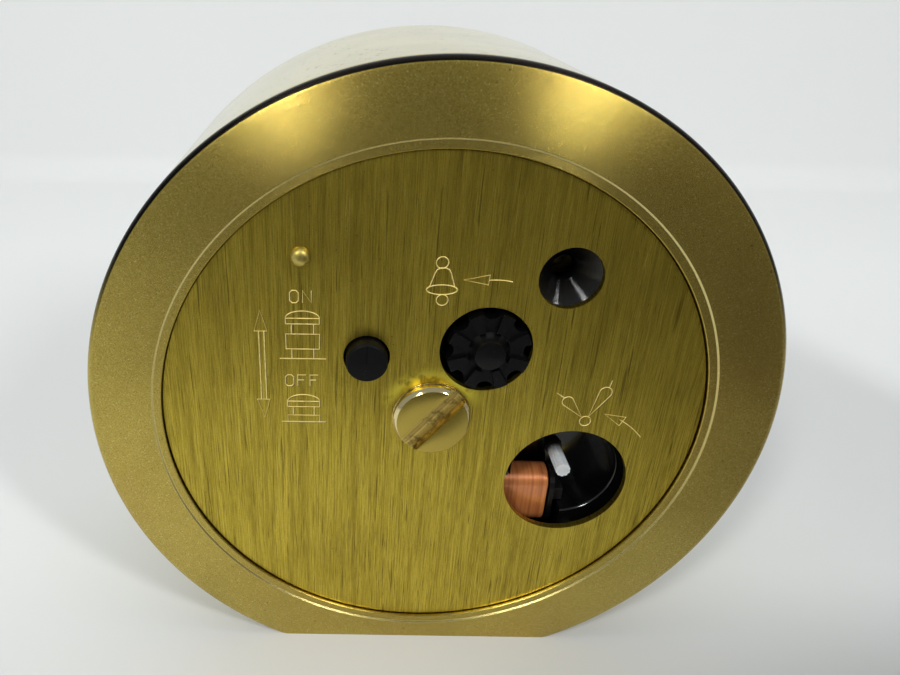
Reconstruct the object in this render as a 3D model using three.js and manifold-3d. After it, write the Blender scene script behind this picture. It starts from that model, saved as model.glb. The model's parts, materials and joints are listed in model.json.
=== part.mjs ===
// Round brass alarm clock with a flat base and a battery movement.
// Millimetres, +Z up. The dial faces -Y and the back plate faces +Y.
// The origin is the middle of the flat base, so the dial's centre is at height BASE_DROP.

import * as THREE from 'three';
import { mergeVertices } from 'three/addons/utils/BufferGeometryUtils.js';
import Module from 'manifold-3d';

const wasm = await Module();
wasm.setup();

// ---------------------------------------------------------------- driving sizes

const BASE_DROP = 38.9;        // flat base below the dial's centre
const CASE_R = 44.3;           // outside of the band
const WALL = 2.0;              // band wall
const FLAT_WALL = 1.8;         // band wall at the flat base
const FRONT_Y = -19.15;        // front rim of the band
const BACK_Y = 17.95;          // satin face of the rear ring
const GAP = 0.3;               // clearance between pieces that rest on each other

const SATIN_R = 43.5;          // outer edge of the satin face
const EDGE_DROP = 0.8;         // rounded edge outside the satin face
const FLANGE_T = 1.1;          // ring flange over the end of the band
const LEDGE_R = 33.2;          // clear opening of the rear ring
const RECESS_R = 34.9;         // recess that takes the back plate

const PLATE_R = RECESS_R - GAP;
const PLATE_Y = BACK_Y - 0.7;  // outer face of the back plate
const PLATE_T = 1.0;
const PLATE_IN = PLATE_Y - PLATE_T;

// Places on the back, seen from the front: x to the right, z above the dial's centre.
const SCREW = { x: 0, z: 0.7 };
const ALARM = { x: -6.4, z: 10.45 };
const ALARM_HOLE = { x: -6.15, z: 10.45 };
const STOP = { x: 8.6, z: 9.3 };
const TRIM = { x: -15.2, z: 20.0 };
const SET = { x: -19.3, z: -9.5 };
const SET_HOLE = { x: -18.85, z: -9.5 };
const PIN = { x: 16.65, z: 22.35 };
const CENTRE = { x: 0, z: 0 };

const ALARM_HOLE_R = 5.75;
const STOP_HOLE_R = 2.9;
const TRIM_HOLE_R = 3.85;
const SET_HOLE_R = 8.2;
const SCREW_HOLE_R = 2.6;

const HEAD_R = 5.0;            // coin screw
const HEAD_TOP = PLATE_Y + 1.6;
const HEAD_BEVEL = 0.45;
const SLOT = { length: 12, width: 2.6, depth: 1.0, turn: 50 };
const KNOB_R = 5.2;            // alarm setting knob
const KNOB_FLOOR = PLATE_Y + 0.2;
const KNOB_LOBE_TOP = PLATE_Y + 0.8;
const KNOB_HUB = { r: 1.87, top: PLATE_Y + 1.7 };
const LOBES = 8;
const STOP_R = 2.6;
const STOP_TOP = 19.15;
const WELL_R = 7.6;            // round well around the hand-setting spindle

// Levels through the movement, from the dial to the back.
const DIAL_Y = [-10.1, -9.3];
const HOUSE_FRONT = [-9.0, -7.6];
const ALARM_LEVEL = [-7.2, -6.4];
const HOUR_LEVEL = [-6.0, -5.2];
const MOTION_LEVEL = [-4.8, -3.6];
const TRAIN_PLATE = [-3.2, -2.4];
const CENTRE_LEVEL = [-1.9, -1.2];
const THIRD_LEVEL = [-0.8, -0.1];
const SECOND_LEVEL = [0.4, 1.1];
const STEP_LEVEL = [1.5, 2.2];
const ROTOR_LEVEL = [2.6, 4.4];
const STATOR_LEVEL = [3.0, 3.9];
const BRIDGE = [5.0, 5.8];
const BOARD = [6.2, 7.2];
const COVER = [12.95, 14.45];
const SPLIT_Y = 3.15;          // parting line of the two housing halves

const COIL = { z: -15.4, y: 11.45, halfY: 2.5, halfZ: 4.4, corner: 2.2, x0: 1.5, x1: -18.1 };
const CELL = { z: -25.2, y: 5.0, r: 6.0, half: 14.6 };

// Gears: teeth and module. The centre distances follow from them.
const ALARM_WHEEL = { teeth: 36, module: 0.5 };
const ALARM_PINION = { teeth: 13, module: 0.5 };
const CANNON = { teeth: 12, module: 0.5 };
const MOTION_WHEEL = { teeth: 36, module: 0.5 };
const SET_PINION = { teeth: 12, module: 0.5 };
const MOTION_PINION = { teeth: 10, module: 0.48 };
const HOUR_WHEEL = { teeth: 40, module: 0.48 };
const CENTRE_WHEEL = { teeth: 64, module: 0.3 };
const THIRD_PINION = { teeth: 8, module: 0.3 };
const THIRD_WHEEL = { teeth: 60, module: 0.31765 };
const SECOND_PINION = { teeth: 8, module: 0.31765 };
const SECOND_WHEEL = { teeth: 40, module: 0.45 };
const STEP_PINION = { teeth: 8, module: 0.45 };
const STEP_WHEEL = { teeth: 48, module: 0.3 };
const ROTOR_PINION = { teeth: 8, module: 0.3 };

const DEGREE = Math.PI / 180;

// ---------------------------------------------------------------- materials

function material(color, roughness, metalness, extra = {}) {
  return new THREE.MeshStandardMaterial({ color, roughness, metalness, ...extra });
}

const polishedBrass = material(0xd8c27a, 0.12, 1.0);
const satinBrass = material(0xb79a45, 0.38, 1.0);
const brushedBrass = material(0xa78a2c, 0.42, 1.0);
const gearBrass = material(0xc9a550, 0.3, 1.0);
const steel = material(0xb4b4b4, 0.3, 1.0);
const blackGloss = material(0x0c0c0d, 0.2, 0.0);
const blackMatt = material(0x17171a, 0.55, 0.0);
const nylon = material(0xe6e4dc, 0.5, 0.0);
const copper = material(0xb5653a, 0.35, 0.9);
const board = material(0x3c5a33, 0.55, 0.0);
const dialWhite = material(0xf0ece0, 0.6, 0.0);
const clear = material(0xffffff, 0.05, 0.0, { transparent: true, opacity: 0.3 });
const cellPaint = material(0x7c1f22, 0.35, 0.2);

// ---------------------------------------------------------------- solids

function solid(geometry) {
  const bare = geometry.clone();
  bare.deleteAttribute('normal');
  bare.deleteAttribute('uv');
  const merged = mergeVertices(bare, 1e-4);
  return new wasm.Manifold(new wasm.Mesh({
    numProp: 3,
    vertProperties: new Float32Array(merged.attributes.position.array),
    triVerts: new Uint32Array(merged.index.array),
  }));
}

function join(...pieces) {
  return pieces.reduce((sum, piece) => sum.add(piece));
}

function cut(piece, ...tools) {
  return tools.reduce((rest, tool) => rest.subtract(tool), piece);
}

// Cylinder along Y between two levels.
function rod(at, r, y0, y1, sides = 16) {
  const shape = new THREE.CylinderGeometry(r, r, y1 - y0, sides);
  shape.translate(at.x, (y0 + y1) / 2, at.z);
  return solid(shape);
}

// Cone along Y: radius r0 at level y0 and r1 at level y1.
function cone(at, r0, r1, y0, y1, sides = 24) {
  const shape = new THREE.CylinderGeometry(r1, r0, y1 - y0, sides);
  shape.translate(at.x, (y0 + y1) / 2, at.z);
  return solid(shape);
}

// Cylinder along X.
function rodX(x0, x1, y, z, r, sides = 16) {
  const shape = new THREE.CylinderGeometry(r, r, Math.abs(x1 - x0), sides);
  shape.rotateZ(Math.PI / 2);
  shape.translate((x0 + x1) / 2, y, z);
  return solid(shape);
}

// Bar along X with a rounded rectangular section, grown on all sides by the given amount.
function coilBar(x0, x1, grow) {
  const y = COIL.halfY - COIL.corner;
  const z = COIL.halfZ - COIL.corner;
  const edges = [[-y, -z], [-y, z], [y, -z], [y, z]].map(
    ([dy, dz]) => rodX(x0, x1, COIL.y + dy, COIL.z + dz, COIL.corner + grow));
  return wasm.Manifold.hull(edges);
}

function block(x0, x1, y0, y1, z0, z1) {
  const shape = new THREE.BoxGeometry(x1 - x0, y1 - y0, z1 - z0);
  shape.translate((x0 + x1) / 2, (y0 + y1) / 2, (z0 + z1) / 2);
  return solid(shape);
}

// Body turned about Y from a closed profile of [radius, y] pairs.
function turned(profile, sides = 48) {
  const points = profile.map(([r, y]) => new THREE.Vector2(r, y));
  points.push(points[0].clone());
  return solid(new THREE.LatheGeometry(points, sides));
}

// Flat outline in x and z, given thickness between two levels.
function slab(shape, y0, y1) {
  const body = new THREE.ExtrudeGeometry(shape, { depth: y1 - y0, bevelEnabled: false });
  body.rotateX(Math.PI / 2);
  body.translate(0, y1, 0);
  return solid(body);
}

function outline(points) {
  return new THREE.Shape(points.map(([x, z]) => new THREE.Vector2(x, z)));
}

// Keeps what is above a level, which makes the flat base.
function above(piece, z) {
  return piece.intersect(block(-60, 60, -40, 40, z, 60));
}

function disc(r, y0, y1, sides = 48) {
  return rod(CENTRE, r, y0, y1, sides);
}

// ---------------------------------------------------------------- gears

function pitchRadius(gear) {
  return gear.teeth * gear.module / 2;
}

function distance(a, b) {
  return pitchRadius(a) + pitchRadius(b);
}

// Wheel with pointed clock teeth. The phase is the angle of its first tooth, from x towards z.
function gearBody(gear, at, phase, y0, y1) {
  const pitch = 2 * Math.PI / gear.teeth;
  const root = pitchRadius(gear) - 1.2 * gear.module;
  const tip = pitchRadius(gear) + 0.8 * gear.module;
  const points = [];
  for (let i = 0; i < gear.teeth; i += 1) {
    const middle = phase + i * pitch;
    for (const [r, offset] of [[root, -0.28], [tip, 0], [root, 0.28]]) {
      const angle = middle + offset * pitch;
      points.push([at.x + r * Math.cos(angle), at.z + r * Math.sin(angle)]);
    }
  }
  return slab(outline(points), y0, y1);
}

// Phase that puts a tooth space of the driven gear opposite a tooth of the driver.
function meshPhase(driver, driverAt, driverPhase, driven, drivenAt) {
  const line = Math.atan2(drivenAt.z - driverAt.z, drivenAt.x - driverAt.x);
  const offset = (driverPhase - line) * driver.teeth / (2 * Math.PI);
  return line + Math.PI + (0.5 - offset) * 2 * Math.PI / driven.teeth;
}

function polar(r, degrees) {
  return { x: r * Math.cos(degrees * DEGREE), z: r * Math.sin(degrees * DEGREE) };
}

// The motion wheel stands where it meets both the cannon pinion and the setting pinion.
function motionPlace() {
  const half = Math.hypot(SET.x, SET.z) / 2;
  const reach = distance(CANNON, MOTION_WHEEL);
  const lift = Math.sqrt(reach * reach - half * half);
  const along = { x: SET.x / (2 * half), z: SET.z / (2 * half) };
  return { x: half * along.x + lift * along.z, z: half * along.z - lift * along.x };
}

const MOTION = motionPlace();
const THIRD = polar(distance(CENTRE_WHEEL, THIRD_PINION), -20);
const STEP = polar(distance(SECOND_WHEEL, STEP_PINION), 250);
const ROTOR = {
  x: STEP.x + distance(STEP_WHEEL, ROTOR_PINION) * Math.cos(-35 * DEGREE),
  z: STEP.z + distance(STEP_WHEEL, ROTOR_PINION) * Math.sin(-35 * DEGREE),
};

// ---------------------------------------------------------------- case

const group = new THREE.Group();
const clock = new THREE.Group();
clock.position.set(0, 0, BASE_DROP);
group.add(clock);

function add(name, body, look) {
  const { vertProperties, triVerts } = body.getMesh();
  const geometry = new THREE.BufferGeometry();
  geometry.setAttribute('position', new THREE.BufferAttribute(vertProperties, 3));
  geometry.setIndex(new THREE.BufferAttribute(triVerts, 1));
  geometry.computeVertexNormals();
  const mesh = new THREE.Mesh(geometry, look);
  mesh.name = name;
  clock.add(mesh);
}

const INSET_R = CASE_R - WALL - GAP;               // pieces that sit inside the band
const INSET_FLAT = -BASE_DROP + FLAT_WALL + GAP;
const BAND_END = BACK_Y - FLANGE_T - GAP;
const SHOULDER_DEPTH = 3.2;
const EDGE_ROUND = 0.25;

function makeBand() {
  const outside = above(disc(CASE_R, FRONT_Y, BAND_END), -BASE_DROP);
  const inside = above(disc(CASE_R - WALL, FRONT_Y - 1, BAND_END + 1), -BASE_DROP + FLAT_WALL);
  add('case_band', outside.subtract(inside), polishedBrass);
}

function makeRearRing() {
  const flangeY = BACK_Y - FLANGE_T;
  const shoulderY = BACK_Y - SHOULDER_DEPTH;
  const ledgeY = PLATE_IN - GAP;
  const flange = above(turned([
    [RECESS_R, flangeY],
    [CASE_R, flangeY],
    [CASE_R, BACK_Y - EDGE_DROP],
    [CASE_R - EDGE_ROUND, BACK_Y - EDGE_ROUND],
    [SATIN_R, BACK_Y],
    [RECESS_R, BACK_Y],
  ]), -BASE_DROP);
  const shoulder = above(turned([
    [LEDGE_R, shoulderY],
    [INSET_R, shoulderY],
    [INSET_R, flangeY],
    [RECESS_R, flangeY],
    [RECESS_R, ledgeY],
    [LEDGE_R, ledgeY],
  ]), INSET_FLAT);
  add('rear_ring', join(flange, shoulder), satinBrass);
}

makeBand();
makeRearRing();

const PIN_SHANK_R = 0.6;
const PIN_TAIL_Y = PLATE_IN - 0.9;
const SCREW_SHANK_R = 2.0;
const SCREW_TIP_Y = 8.6;

function makeBackPlate() {
  const holes = [
    [ALARM_HOLE, ALARM_HOLE_R, 28],
    [STOP, STOP_HOLE_R, 20],
    [TRIM, TRIM_HOLE_R, 20],
    [SET_HOLE, SET_HOLE_R, 32],
    [SCREW, SCREW_HOLE_R, 16],
    [PIN, PIN_SHANK_R + 0.25, 10],
  ];
  const blank = disc(PLATE_R, PLATE_IN, PLATE_Y, 60);
  const drills = holes.map(([at, r, sides]) => rod(at, r, PLATE_IN - 1, PLATE_Y + 1, sides));
  add('back_plate', cut(blank, ...drills), brushedBrass);
}

// Rivet head that shows on the back plate, with its shank through the plate.
function makePlateRivet() {
  const shank = rod(PIN, PIN_SHANK_R, PIN_TAIL_Y, PLATE_Y + 0.5, 12);
  const head = cone(PIN, 1.25, 0.7, PLATE_Y + GAP, PLATE_Y + 0.95, 20);
  const tail = rod(PIN, 1.2, PIN_TAIL_Y, PLATE_IN - GAP, 20);
  add('plate_rivet', join(shank, head, tail), polishedBrass);
}

// Coin screw: wide bevelled head with a slot, and a shank into the movement's post.
function makeCoinScrew() {
  const bevelY = HEAD_TOP - HEAD_BEVEL;
  const body = join(
    rod(SCREW, HEAD_R, PLATE_Y + GAP, bevelY, 28),
    cone(SCREW, HEAD_R, HEAD_R - HEAD_BEVEL, bevelY, HEAD_TOP, 28),
    rod(SCREW, SCREW_SHANK_R, SCREW_TIP_Y, PLATE_Y + 0.6, 20),
  );
  const slot = new THREE.BoxGeometry(SLOT.length, 2 * SLOT.depth, SLOT.width);
  slot.rotateY(SLOT.turn * DEGREE);
  slot.translate(SCREW.x, HEAD_TOP, SCREW.z);
  add('coin_screw', body.subtract(solid(slot)), polishedBrass);
}

function makeScrewPost() {
  const post = cut(
    rod(SCREW, 3.4, SCREW_TIP_Y - 0.6, PLATE_IN - GAP, 20),
    rod(SCREW, SCREW_SHANK_R + 0.25, SCREW_TIP_Y - 0.2, PLATE_IN + 1, 20),
  );
  add('screw_post', post, gearBrass);
}

makeBackPlate();
makePlateRivet();
makeCoinScrew();
makeScrewPost();

// Front: inset bezel, crystal, spacer ring, dial and the seat behind it.
const BEZEL_Y = [-18.65, -14.75];
const CRYSTAL = { r: 35.9, y: [-16.65, -15.15] };
const SPACER_Y = [-14.45, -10.4];
const SEAT_Y = [-9.0, -7.0];
const DIAL_BORE = 4.3;

function makeFront() {
  const lip = CRYSTAL.y[0] - GAP;
  add('bezel', above(turned([
    [34.6, BEZEL_Y[0] + 0.65],
    [35.2, BEZEL_Y[0]],
    [INSET_R, BEZEL_Y[0]],
    [INSET_R, BEZEL_Y[1]],
    [CRYSTAL.r + GAP, BEZEL_Y[1]],
    [CRYSTAL.r + GAP, lip],
    [34.6, lip],
  ]), INSET_FLAT), polishedBrass);
  add('crystal', disc(CRYSTAL.r, ...CRYSTAL.y), clear);
  add('dial_spacer', above(turned([
    [35.0, SPACER_Y[0]],
    [INSET_R, SPACER_Y[0]],
    [INSET_R, SPACER_Y[1]],
    [34.2, SPACER_Y[1]],
  ]), INSET_FLAT), satinBrass);
  const blank = above(disc(INSET_R, ...DIAL_Y), INSET_FLAT);
  add('dial', cut(blank, rod(CENTRE, DIAL_BORE, -12, -8)), dialWhite);
  add('dial_seat', above(turned([
    [38.4, SEAT_Y[0]],
    [INSET_R, SEAT_Y[0]],
    [INSET_R, SEAT_Y[1]],
    [39.6, SEAT_Y[1]],
  ]), INSET_FLAT), blackMatt);
}

makeFront();

// ---------------------------------------------------------------- movement housing

const HOUSE_OUTLINE = [
  [-29, 23], [-24, 29], [24, 29], [29, 23], [29, -18], [19.5, -33], [-19.5, -33], [-29, -18],
];
const ROOM_OUTLINE = [
  [-27.5, 22.4], [-23.4, 27.5], [23.4, 27.5], [27.5, 22.4],
  [27.5, -17.6], [18.6, -31.6], [-18.6, -31.6], [-27.5, -17.6],
];
const SCREW_PLACES = [
  { x: 21.2, z: 21.8 }, { x: -25.0, z: 9.0 }, { x: 21.9, z: -21.2 }, { x: -21.9, z: -21.2 },
];
const PLATE_POSTS = [{ x: 25.2, z: -14.5 }, { x: -25.2, z: -14.5 }];
const UPPER_SCREWS = SCREW_PLACES.slice(0, 2);     // these two pass the plates and the board

const BUSH = { r: 4.0, bore: 3.3, front: -11.2 };
const NUT = { r: 6.0, y: [-11.3, -10.4] };
const FUNNEL = { bore: 1.9, mouth: 4.5, neckY: 13.4, topY: PLATE_IN - 0.6, footY: 8.6 };
const WELL = { wall: 1.0, under: 7.0, floor: 8.0 };
const HOUSE_SCREW = { head: 2.2, headTop: COVER[1] + 1.4, shank: 0.9, tip: -6.0, notch: 0.25 };

// Drill of one radius at every listed place.
function drills(places, r, y0, y1, sides = 10) {
  return places.map((at) => rod(at, r, y0, y1, sides));
}

function makeMovementFront() {
  const floor = HOUSE_FRONT[1];
  const postTop = TRAIN_PLATE[0] - GAP;
  const shell = cut(
    slab(outline(HOUSE_OUTLINE), HOUSE_FRONT[0], SPLIT_Y - GAP / 2),
    slab(outline(ROOM_OUTLINE), floor, SPLIT_Y + 1),
  );
  const ribs = [17.2, -18.4].map((x) => block(x, x + 1.2, floor - 0.2, 10.5, -31.3, -20.5));
  const posts = drills([...SCREW_PLACES, ...PLATE_POSTS], 2.4, floor - 0.2, postTop, 12);
  const bush = rod(CENTRE, BUSH.r, BUSH.front, HOUSE_FRONT[0] + 0.2, 32);
  const stud = rod(MOTION, 0.8, floor - 0.2, postTop, 16);
  add('movement_front', cut(
    join(shell, ...ribs, ...posts, bush, stud),
    rod(CENTRE, BUSH.bore, BUSH.front - 1, floor + 1, 32),
    ...drills(SCREW_PLACES, 1.1, -6.5, TRAIN_PLATE[0] + 1),
  ), blackMatt);
}

function makeDialNut() {
  const corners = [0, 60, 120, 180, 240, 300].map((angle) => polar(NUT.r, angle));
  const nut = slab(outline(corners.map(({ x, z }) => [x, z])), ...NUT.y);
  add('dial_nut', cut(nut, rod(CENTRE, DIAL_BORE, NUT.y[0] - 1, NUT.y[1] + 1)), polishedBrass);
}

// Openings in the cover's outer wall.
function coverOpenings() {
  const [inner, outer] = [COVER[0] - 1, COVER[1] + 1];
  return [
    rod(SET, WELL_R, WELL.floor, outer, 28),
    rod(SET, 1.5, WELL.under - 1, WELL.floor + 1, 20),
    rod(ALARM, KNOB_R + 0.7, inner, outer, 28),
    rod(STOP, STOP_R + GAP, inner, outer, 20),
    rod(SCREW, 3.7, inner, outer, 20),
    block(-19.8, 2.6, 8.3, outer, -20.3, -10.6),                   // coil
    block(-21.2, -18.0, 6, 9, -17.0, -14.0),                       // leg of the coil's core
    block(-17.6, 17.6, inner, outer, -31.4, -20.2),                // battery
    ...drills(SCREW_PLACES, 1.4, inner, outer),
  ];
}

function makeMovementCover() {
  const wall = cut(
    slab(outline(HOUSE_OUTLINE), SPLIT_Y + GAP / 2, COVER[1]),
    slab(outline(ROOM_OUTLINE), SPLIT_Y - 1, COVER[0]),
  );
  const funnel = cone(TRIM, 3.2, 5.4, FUNNEL.footY, FUNNEL.topY);
  const well = rod(SET, WELL_R + WELL.wall, WELL.under, COVER[1], 28);
  add('movement_cover', cut(
    join(wall, funnel, well),
    cone(TRIM, FUNNEL.bore, FUNNEL.mouth, FUNNEL.neckY, FUNNEL.topY + 0.02),
    rod(TRIM, FUNNEL.bore, FUNNEL.footY - 1.6, FUNNEL.neckY + 0.01, 24),
    ...coverOpenings(),
  ), blackGloss);
}

function makeHousingScrew(at, number) {
  const { head, headTop, shank, tip, notch } = HOUSE_SCREW;
  const body = join(
    rod(at, head, COVER[1] + GAP, headTop, 12),
    rod(at, shank, tip, COVER[1] + 0.5, 8),
  );
  const slot = block(at.x - 3, at.x + 3, headTop - 0.5, headTop + 1, at.z - notch, at.z + notch);
  add(`housing_screw_${number}`, cut(body, slot), steel);
}

makeMovementFront();
makeDialNut();
makeMovementCover();
SCREW_PLACES.forEach((at, i) => makeHousingScrew(at, i + 1));

// ---------------------------------------------------------------- plates for the arbors

const TRAIN_OUTLINE = [
  [-27, 22], [-23, 27], [23, 27], [27, 22],
  [27, -16.5], [25.6, -18.2], [-25.6, -18.2], [-27, -16.5],
];
const CORE_LEGS = [[-20.6, -19.2], [6.9, 8.5]];    // legs of the coil's core, from x to x
const CORE_HALF = 1.0;

// Plate with a hole for each arbor, for the spindles and for the two upper screws.
function arborPlate([y0, y1], centreHole, ...others) {
  return cut(
    slab(outline(TRAIN_OUTLINE), y0, y1),
    rod(CENTRE, centreHole, y0 - 1, y1 + 1, 16),
    rod(ALARM, 1.4, y0 - 1, y1 + 1, 20),
    rod(SET, 1.6, y0 - 1, y1 + 1, 20),
    ...drills([THIRD, STEP, ROTOR], 0.7, y0 - 1, y1 + 1, 12),
    ...drills(UPPER_SCREWS, 1.3, y0 - 1, y1 + 1),
    ...others,
  );
}

function makeTrainPlates() {
  const legHoles = CORE_LEGS.map(
    ([x0, x1]) => block(x0 - 0.4, x1 + 0.4, BRIDGE[0] - 1, BRIDGE[1] + 1, -17.0, -14.0));
  add('train_plate', arborPlate(TRAIN_PLATE, 1.6), gearBrass);
  add('train_bridge', arborPlate(BRIDGE, 0.8, ...legHoles), gearBrass);
}

makeTrainPlates();

// ---------------------------------------------------------------- alarm work

const ALARM_PIPE = { r: 3.0, bore: 2.4, front: -12.2 };
const ALARM_SPINDLE = { r: 1.0, y: [-7.3, 15.0] };

function makeAlarmWork() {
  const pinionPhase = meshPhase(ALARM_WHEEL, CENTRE, 0, ALARM_PINION, ALARM);
  const [front, back] = ALARM_LEVEL;
  add('alarm_wheel', cut(
    join(
      gearBody(ALARM_WHEEL, CENTRE, 0, front, back),
      rod(CENTRE, ALARM_PIPE.r, ALARM_PIPE.front, front + 0.2, 24),
    ),
    rod(CENTRE, ALARM_PIPE.bore, ALARM_PIPE.front - 1, back + 1, 24),
  ), gearBrass);
  add('alarm_spindle', join(
    rod(ALARM, ALARM_SPINDLE.r, ...ALARM_SPINDLE.y, 16),
    gearBody(ALARM_PINION, ALARM, pinionPhase, front - 0.1, back + 0.1),
  ), steel);
}

makeAlarmWork();

// Knob: scalloped rim, a raised wedge between each two scallops, and a round hub.
const SCALLOP = { at: 5.45, r: 1.15 };
const LOBE_HALF_ANGLE = 10.2;
const WEDGE = { inner: 2.7, outer: KNOB_R - 0.03, halfAngle: 9.2 };
const KNOB_FOOT = 10.6;

function knobSpot(r, degrees) {
  const spot = polar(r, degrees);
  return [ALARM.x + spot.x, ALARM.z + spot.z];
}

// Points of one scallop and of the lobe that follows it.
function knobEdge(notch) {
  const middle = polar(SCALLOP.at, notch);
  const bites = [-60, -20, 20, 60].map((turn) => {
    const bite = polar(SCALLOP.r, notch + 180 - turn);
    return [ALARM.x + middle.x + bite.x, ALARM.z + middle.z + bite.z];
  });
  const lobe = notch + 180 / LOBES;
  return [...bites, ...[-1, 0, 1].map((side) => knobSpot(KNOB_R, lobe + side * LOBE_HALF_ANGLE))];
}

function knobWedge(lobe) {
  return slab(outline([
    knobSpot(WEDGE.inner, lobe - WEDGE.halfAngle),
    knobSpot(WEDGE.outer, lobe - WEDGE.halfAngle),
    knobSpot(WEDGE.outer, lobe + WEDGE.halfAngle),
    knobSpot(WEDGE.inner, lobe + WEDGE.halfAngle),
  ]), KNOB_FLOOR - 0.5, KNOB_LOBE_TOP);
}

function makeAlarmKnob() {
  const notches = Array.from({ length: LOBES }, (_, i) => i * 360 / LOBES);
  const body = join(
    slab(outline(notches.flatMap(knobEdge)), KNOB_FOOT, KNOB_FLOOR),
    ...notches.map((notch) => knobWedge(notch + 180 / LOBES)),
    rod(ALARM, KNOB_HUB.r, KNOB_FLOOR - 0.5, KNOB_HUB.top, 24),
  );
  const socket = rod(ALARM, ALARM_SPINDLE.r + 0.25, KNOB_FOOT - 1, ALARM_SPINDLE.y[1] + 0.4, 16);
  add('alarm_set_knob', cut(body, socket), blackMatt);
}

makeAlarmKnob();

// ---------------------------------------------------------------- hands and motion work

const CANNON_PIPE = { r: 1.25, bore: 0.75, y: [-13.8, -1.0] };
const HOUR_PIPE = { r: 2.1, bore: 1.55, front: -13.0 };
const MOTION_FACE = [MOTION_LEVEL[0] + 0.1, MOTION_LEVEL[1] - 0.1];
const SPLINES = 8;
const SET_SPINDLE = { r: 1.2, foot: -7.0, shoulder: 9.2, tip: 14.75 };

const motionPhase = meshPhase(CANNON, CENTRE, 0, MOTION_WHEEL, MOTION);

function makeMotionWork() {
  const pinionPhase = meshPhase(HOUR_WHEEL, CENTRE, 0, MOTION_PINION, MOTION);
  const [pipeFront, pipeBack] = CANNON_PIPE.y;
  add('cannon_pinion', cut(
    join(
      gearBody(CANNON, CENTRE, 0, ...MOTION_LEVEL),
      rod(CENTRE, CANNON_PIPE.r, pipeFront, pipeBack, 20),
    ),
    rod(CENTRE, CANNON_PIPE.bore, pipeFront - 1, pipeBack + 1, 16),
  ), steel);
  add('hour_wheel', cut(
    join(
      gearBody(HOUR_WHEEL, CENTRE, 0, ...HOUR_LEVEL),
      rod(CENTRE, HOUR_PIPE.r, HOUR_PIPE.front, HOUR_LEVEL[0] + 0.2, 24),
    ),
    rod(CENTRE, HOUR_PIPE.bore, HOUR_PIPE.front - 1, HOUR_LEVEL[1] + 1, 20),
  ), gearBrass);
  add('motion_wheel', cut(
    join(
      gearBody(MOTION_WHEEL, MOTION, motionPhase, ...MOTION_FACE),
      gearBody(MOTION_PINION, MOTION, pinionPhase, HOUR_LEVEL[0] - 0.1, MOTION_FACE[0] + 0.1),
    ),
    rod(MOTION, 1.1, HOUR_LEVEL[0] - 1, MOTION_LEVEL[1] + 1, 16),
  ), gearBrass);
}

// White nylon spindle: pinion at its foot, splined stub at its back end.
function makeSetSpindle() {
  const phase = meshPhase(MOTION_WHEEL, MOTION, motionPhase, SET_PINION, SET);
  const spline = [[0.0, 0.72], [0.25, 0.95], [0.5, 0.95], [0.75, 0.72]];
  const points = [];
  for (let i = 0; i < SPLINES; i += 1) {
    for (const [share, r] of spline) {
      const spot = polar(r, (i + share) * 360 / SPLINES);
      points.push([SET.x + spot.x, SET.z + spot.z]);
    }
  }
  add('set_spindle', join(
    gearBody(SET_PINION, SET, phase, ...MOTION_LEVEL),
    rod(SET, SET_SPINDLE.r, SET_SPINDLE.foot, SET_SPINDLE.shoulder, 16),
    slab(outline(points), SET_SPINDLE.shoulder - 0.2, SET_SPINDLE.tip),
  ), nylon);
}

makeMotionWork();
makeSetSpindle();

// ---------------------------------------------------------------- going train

const PIVOT = { r: 0.4, y: [-3.0, 5.6] };          // arbor ends turn in the two plates
const SECOND_ARBOR = { r: 0.45, y: [-14.6, 5.6] };
const ROTOR_MAGNET_R = 2.5;

function pivot(at) {
  return rod(at, PIVOT.r, ...PIVOT.y, 10);
}

function makeGoingTrain() {
  const thirdPinionPhase = meshPhase(CENTRE_WHEEL, CENTRE, 0, THIRD_PINION, THIRD);
  const secondPinionPhase = meshPhase(THIRD_WHEEL, THIRD, 0, SECOND_PINION, CENTRE);
  const stepPinionPhase = meshPhase(SECOND_WHEEL, CENTRE, 0, STEP_PINION, STEP);
  const rotorPhase = meshPhase(STEP_WHEEL, STEP, 0, ROTOR_PINION, ROTOR);
  add('centre_wheel', cut(
    gearBody(CENTRE_WHEEL, CENTRE, 0, ...CENTRE_LEVEL),
    rod(CENTRE, 1.55, CENTRE_LEVEL[0] - 1, CENTRE_LEVEL[1] + 1, 20),
  ), gearBrass);
  add('third_wheel', join(
    gearBody(THIRD_WHEEL, THIRD, 0, ...THIRD_LEVEL),
    gearBody(THIRD_PINION, THIRD, thirdPinionPhase, CENTRE_LEVEL[0] - 0.1, THIRD_LEVEL[0] + 0.1),
    pivot(THIRD),
  ), gearBrass);
  add('second_wheel', join(
    gearBody(SECOND_WHEEL, CENTRE, 0, ...SECOND_LEVEL),
    gearBody(SECOND_PINION, CENTRE, secondPinionPhase, THIRD_LEVEL[0] - 0.1, SECOND_LEVEL[0] + 0.1),
    rod(CENTRE, SECOND_ARBOR.r, ...SECOND_ARBOR.y, 12),
  ), gearBrass);
  add('step_wheel', join(
    gearBody(STEP_WHEEL, STEP, 0, ...STEP_LEVEL),
    gearBody(STEP_PINION, STEP, stepPinionPhase, SECOND_LEVEL[0] - 0.1, STEP_LEVEL[0] + 0.1),
    pivot(STEP),
  ), nylon);
  add('rotor', join(
    rod(ROTOR, ROTOR_MAGNET_R, ...ROTOR_LEVEL, 24),
    gearBody(ROTOR_PINION, ROTOR, rotorPhase, STEP_LEVEL[0] - 0.1, ROTOR_LEVEL[0] + 0.1),
    pivot(ROTOR),
  ), steel);
}

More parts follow.
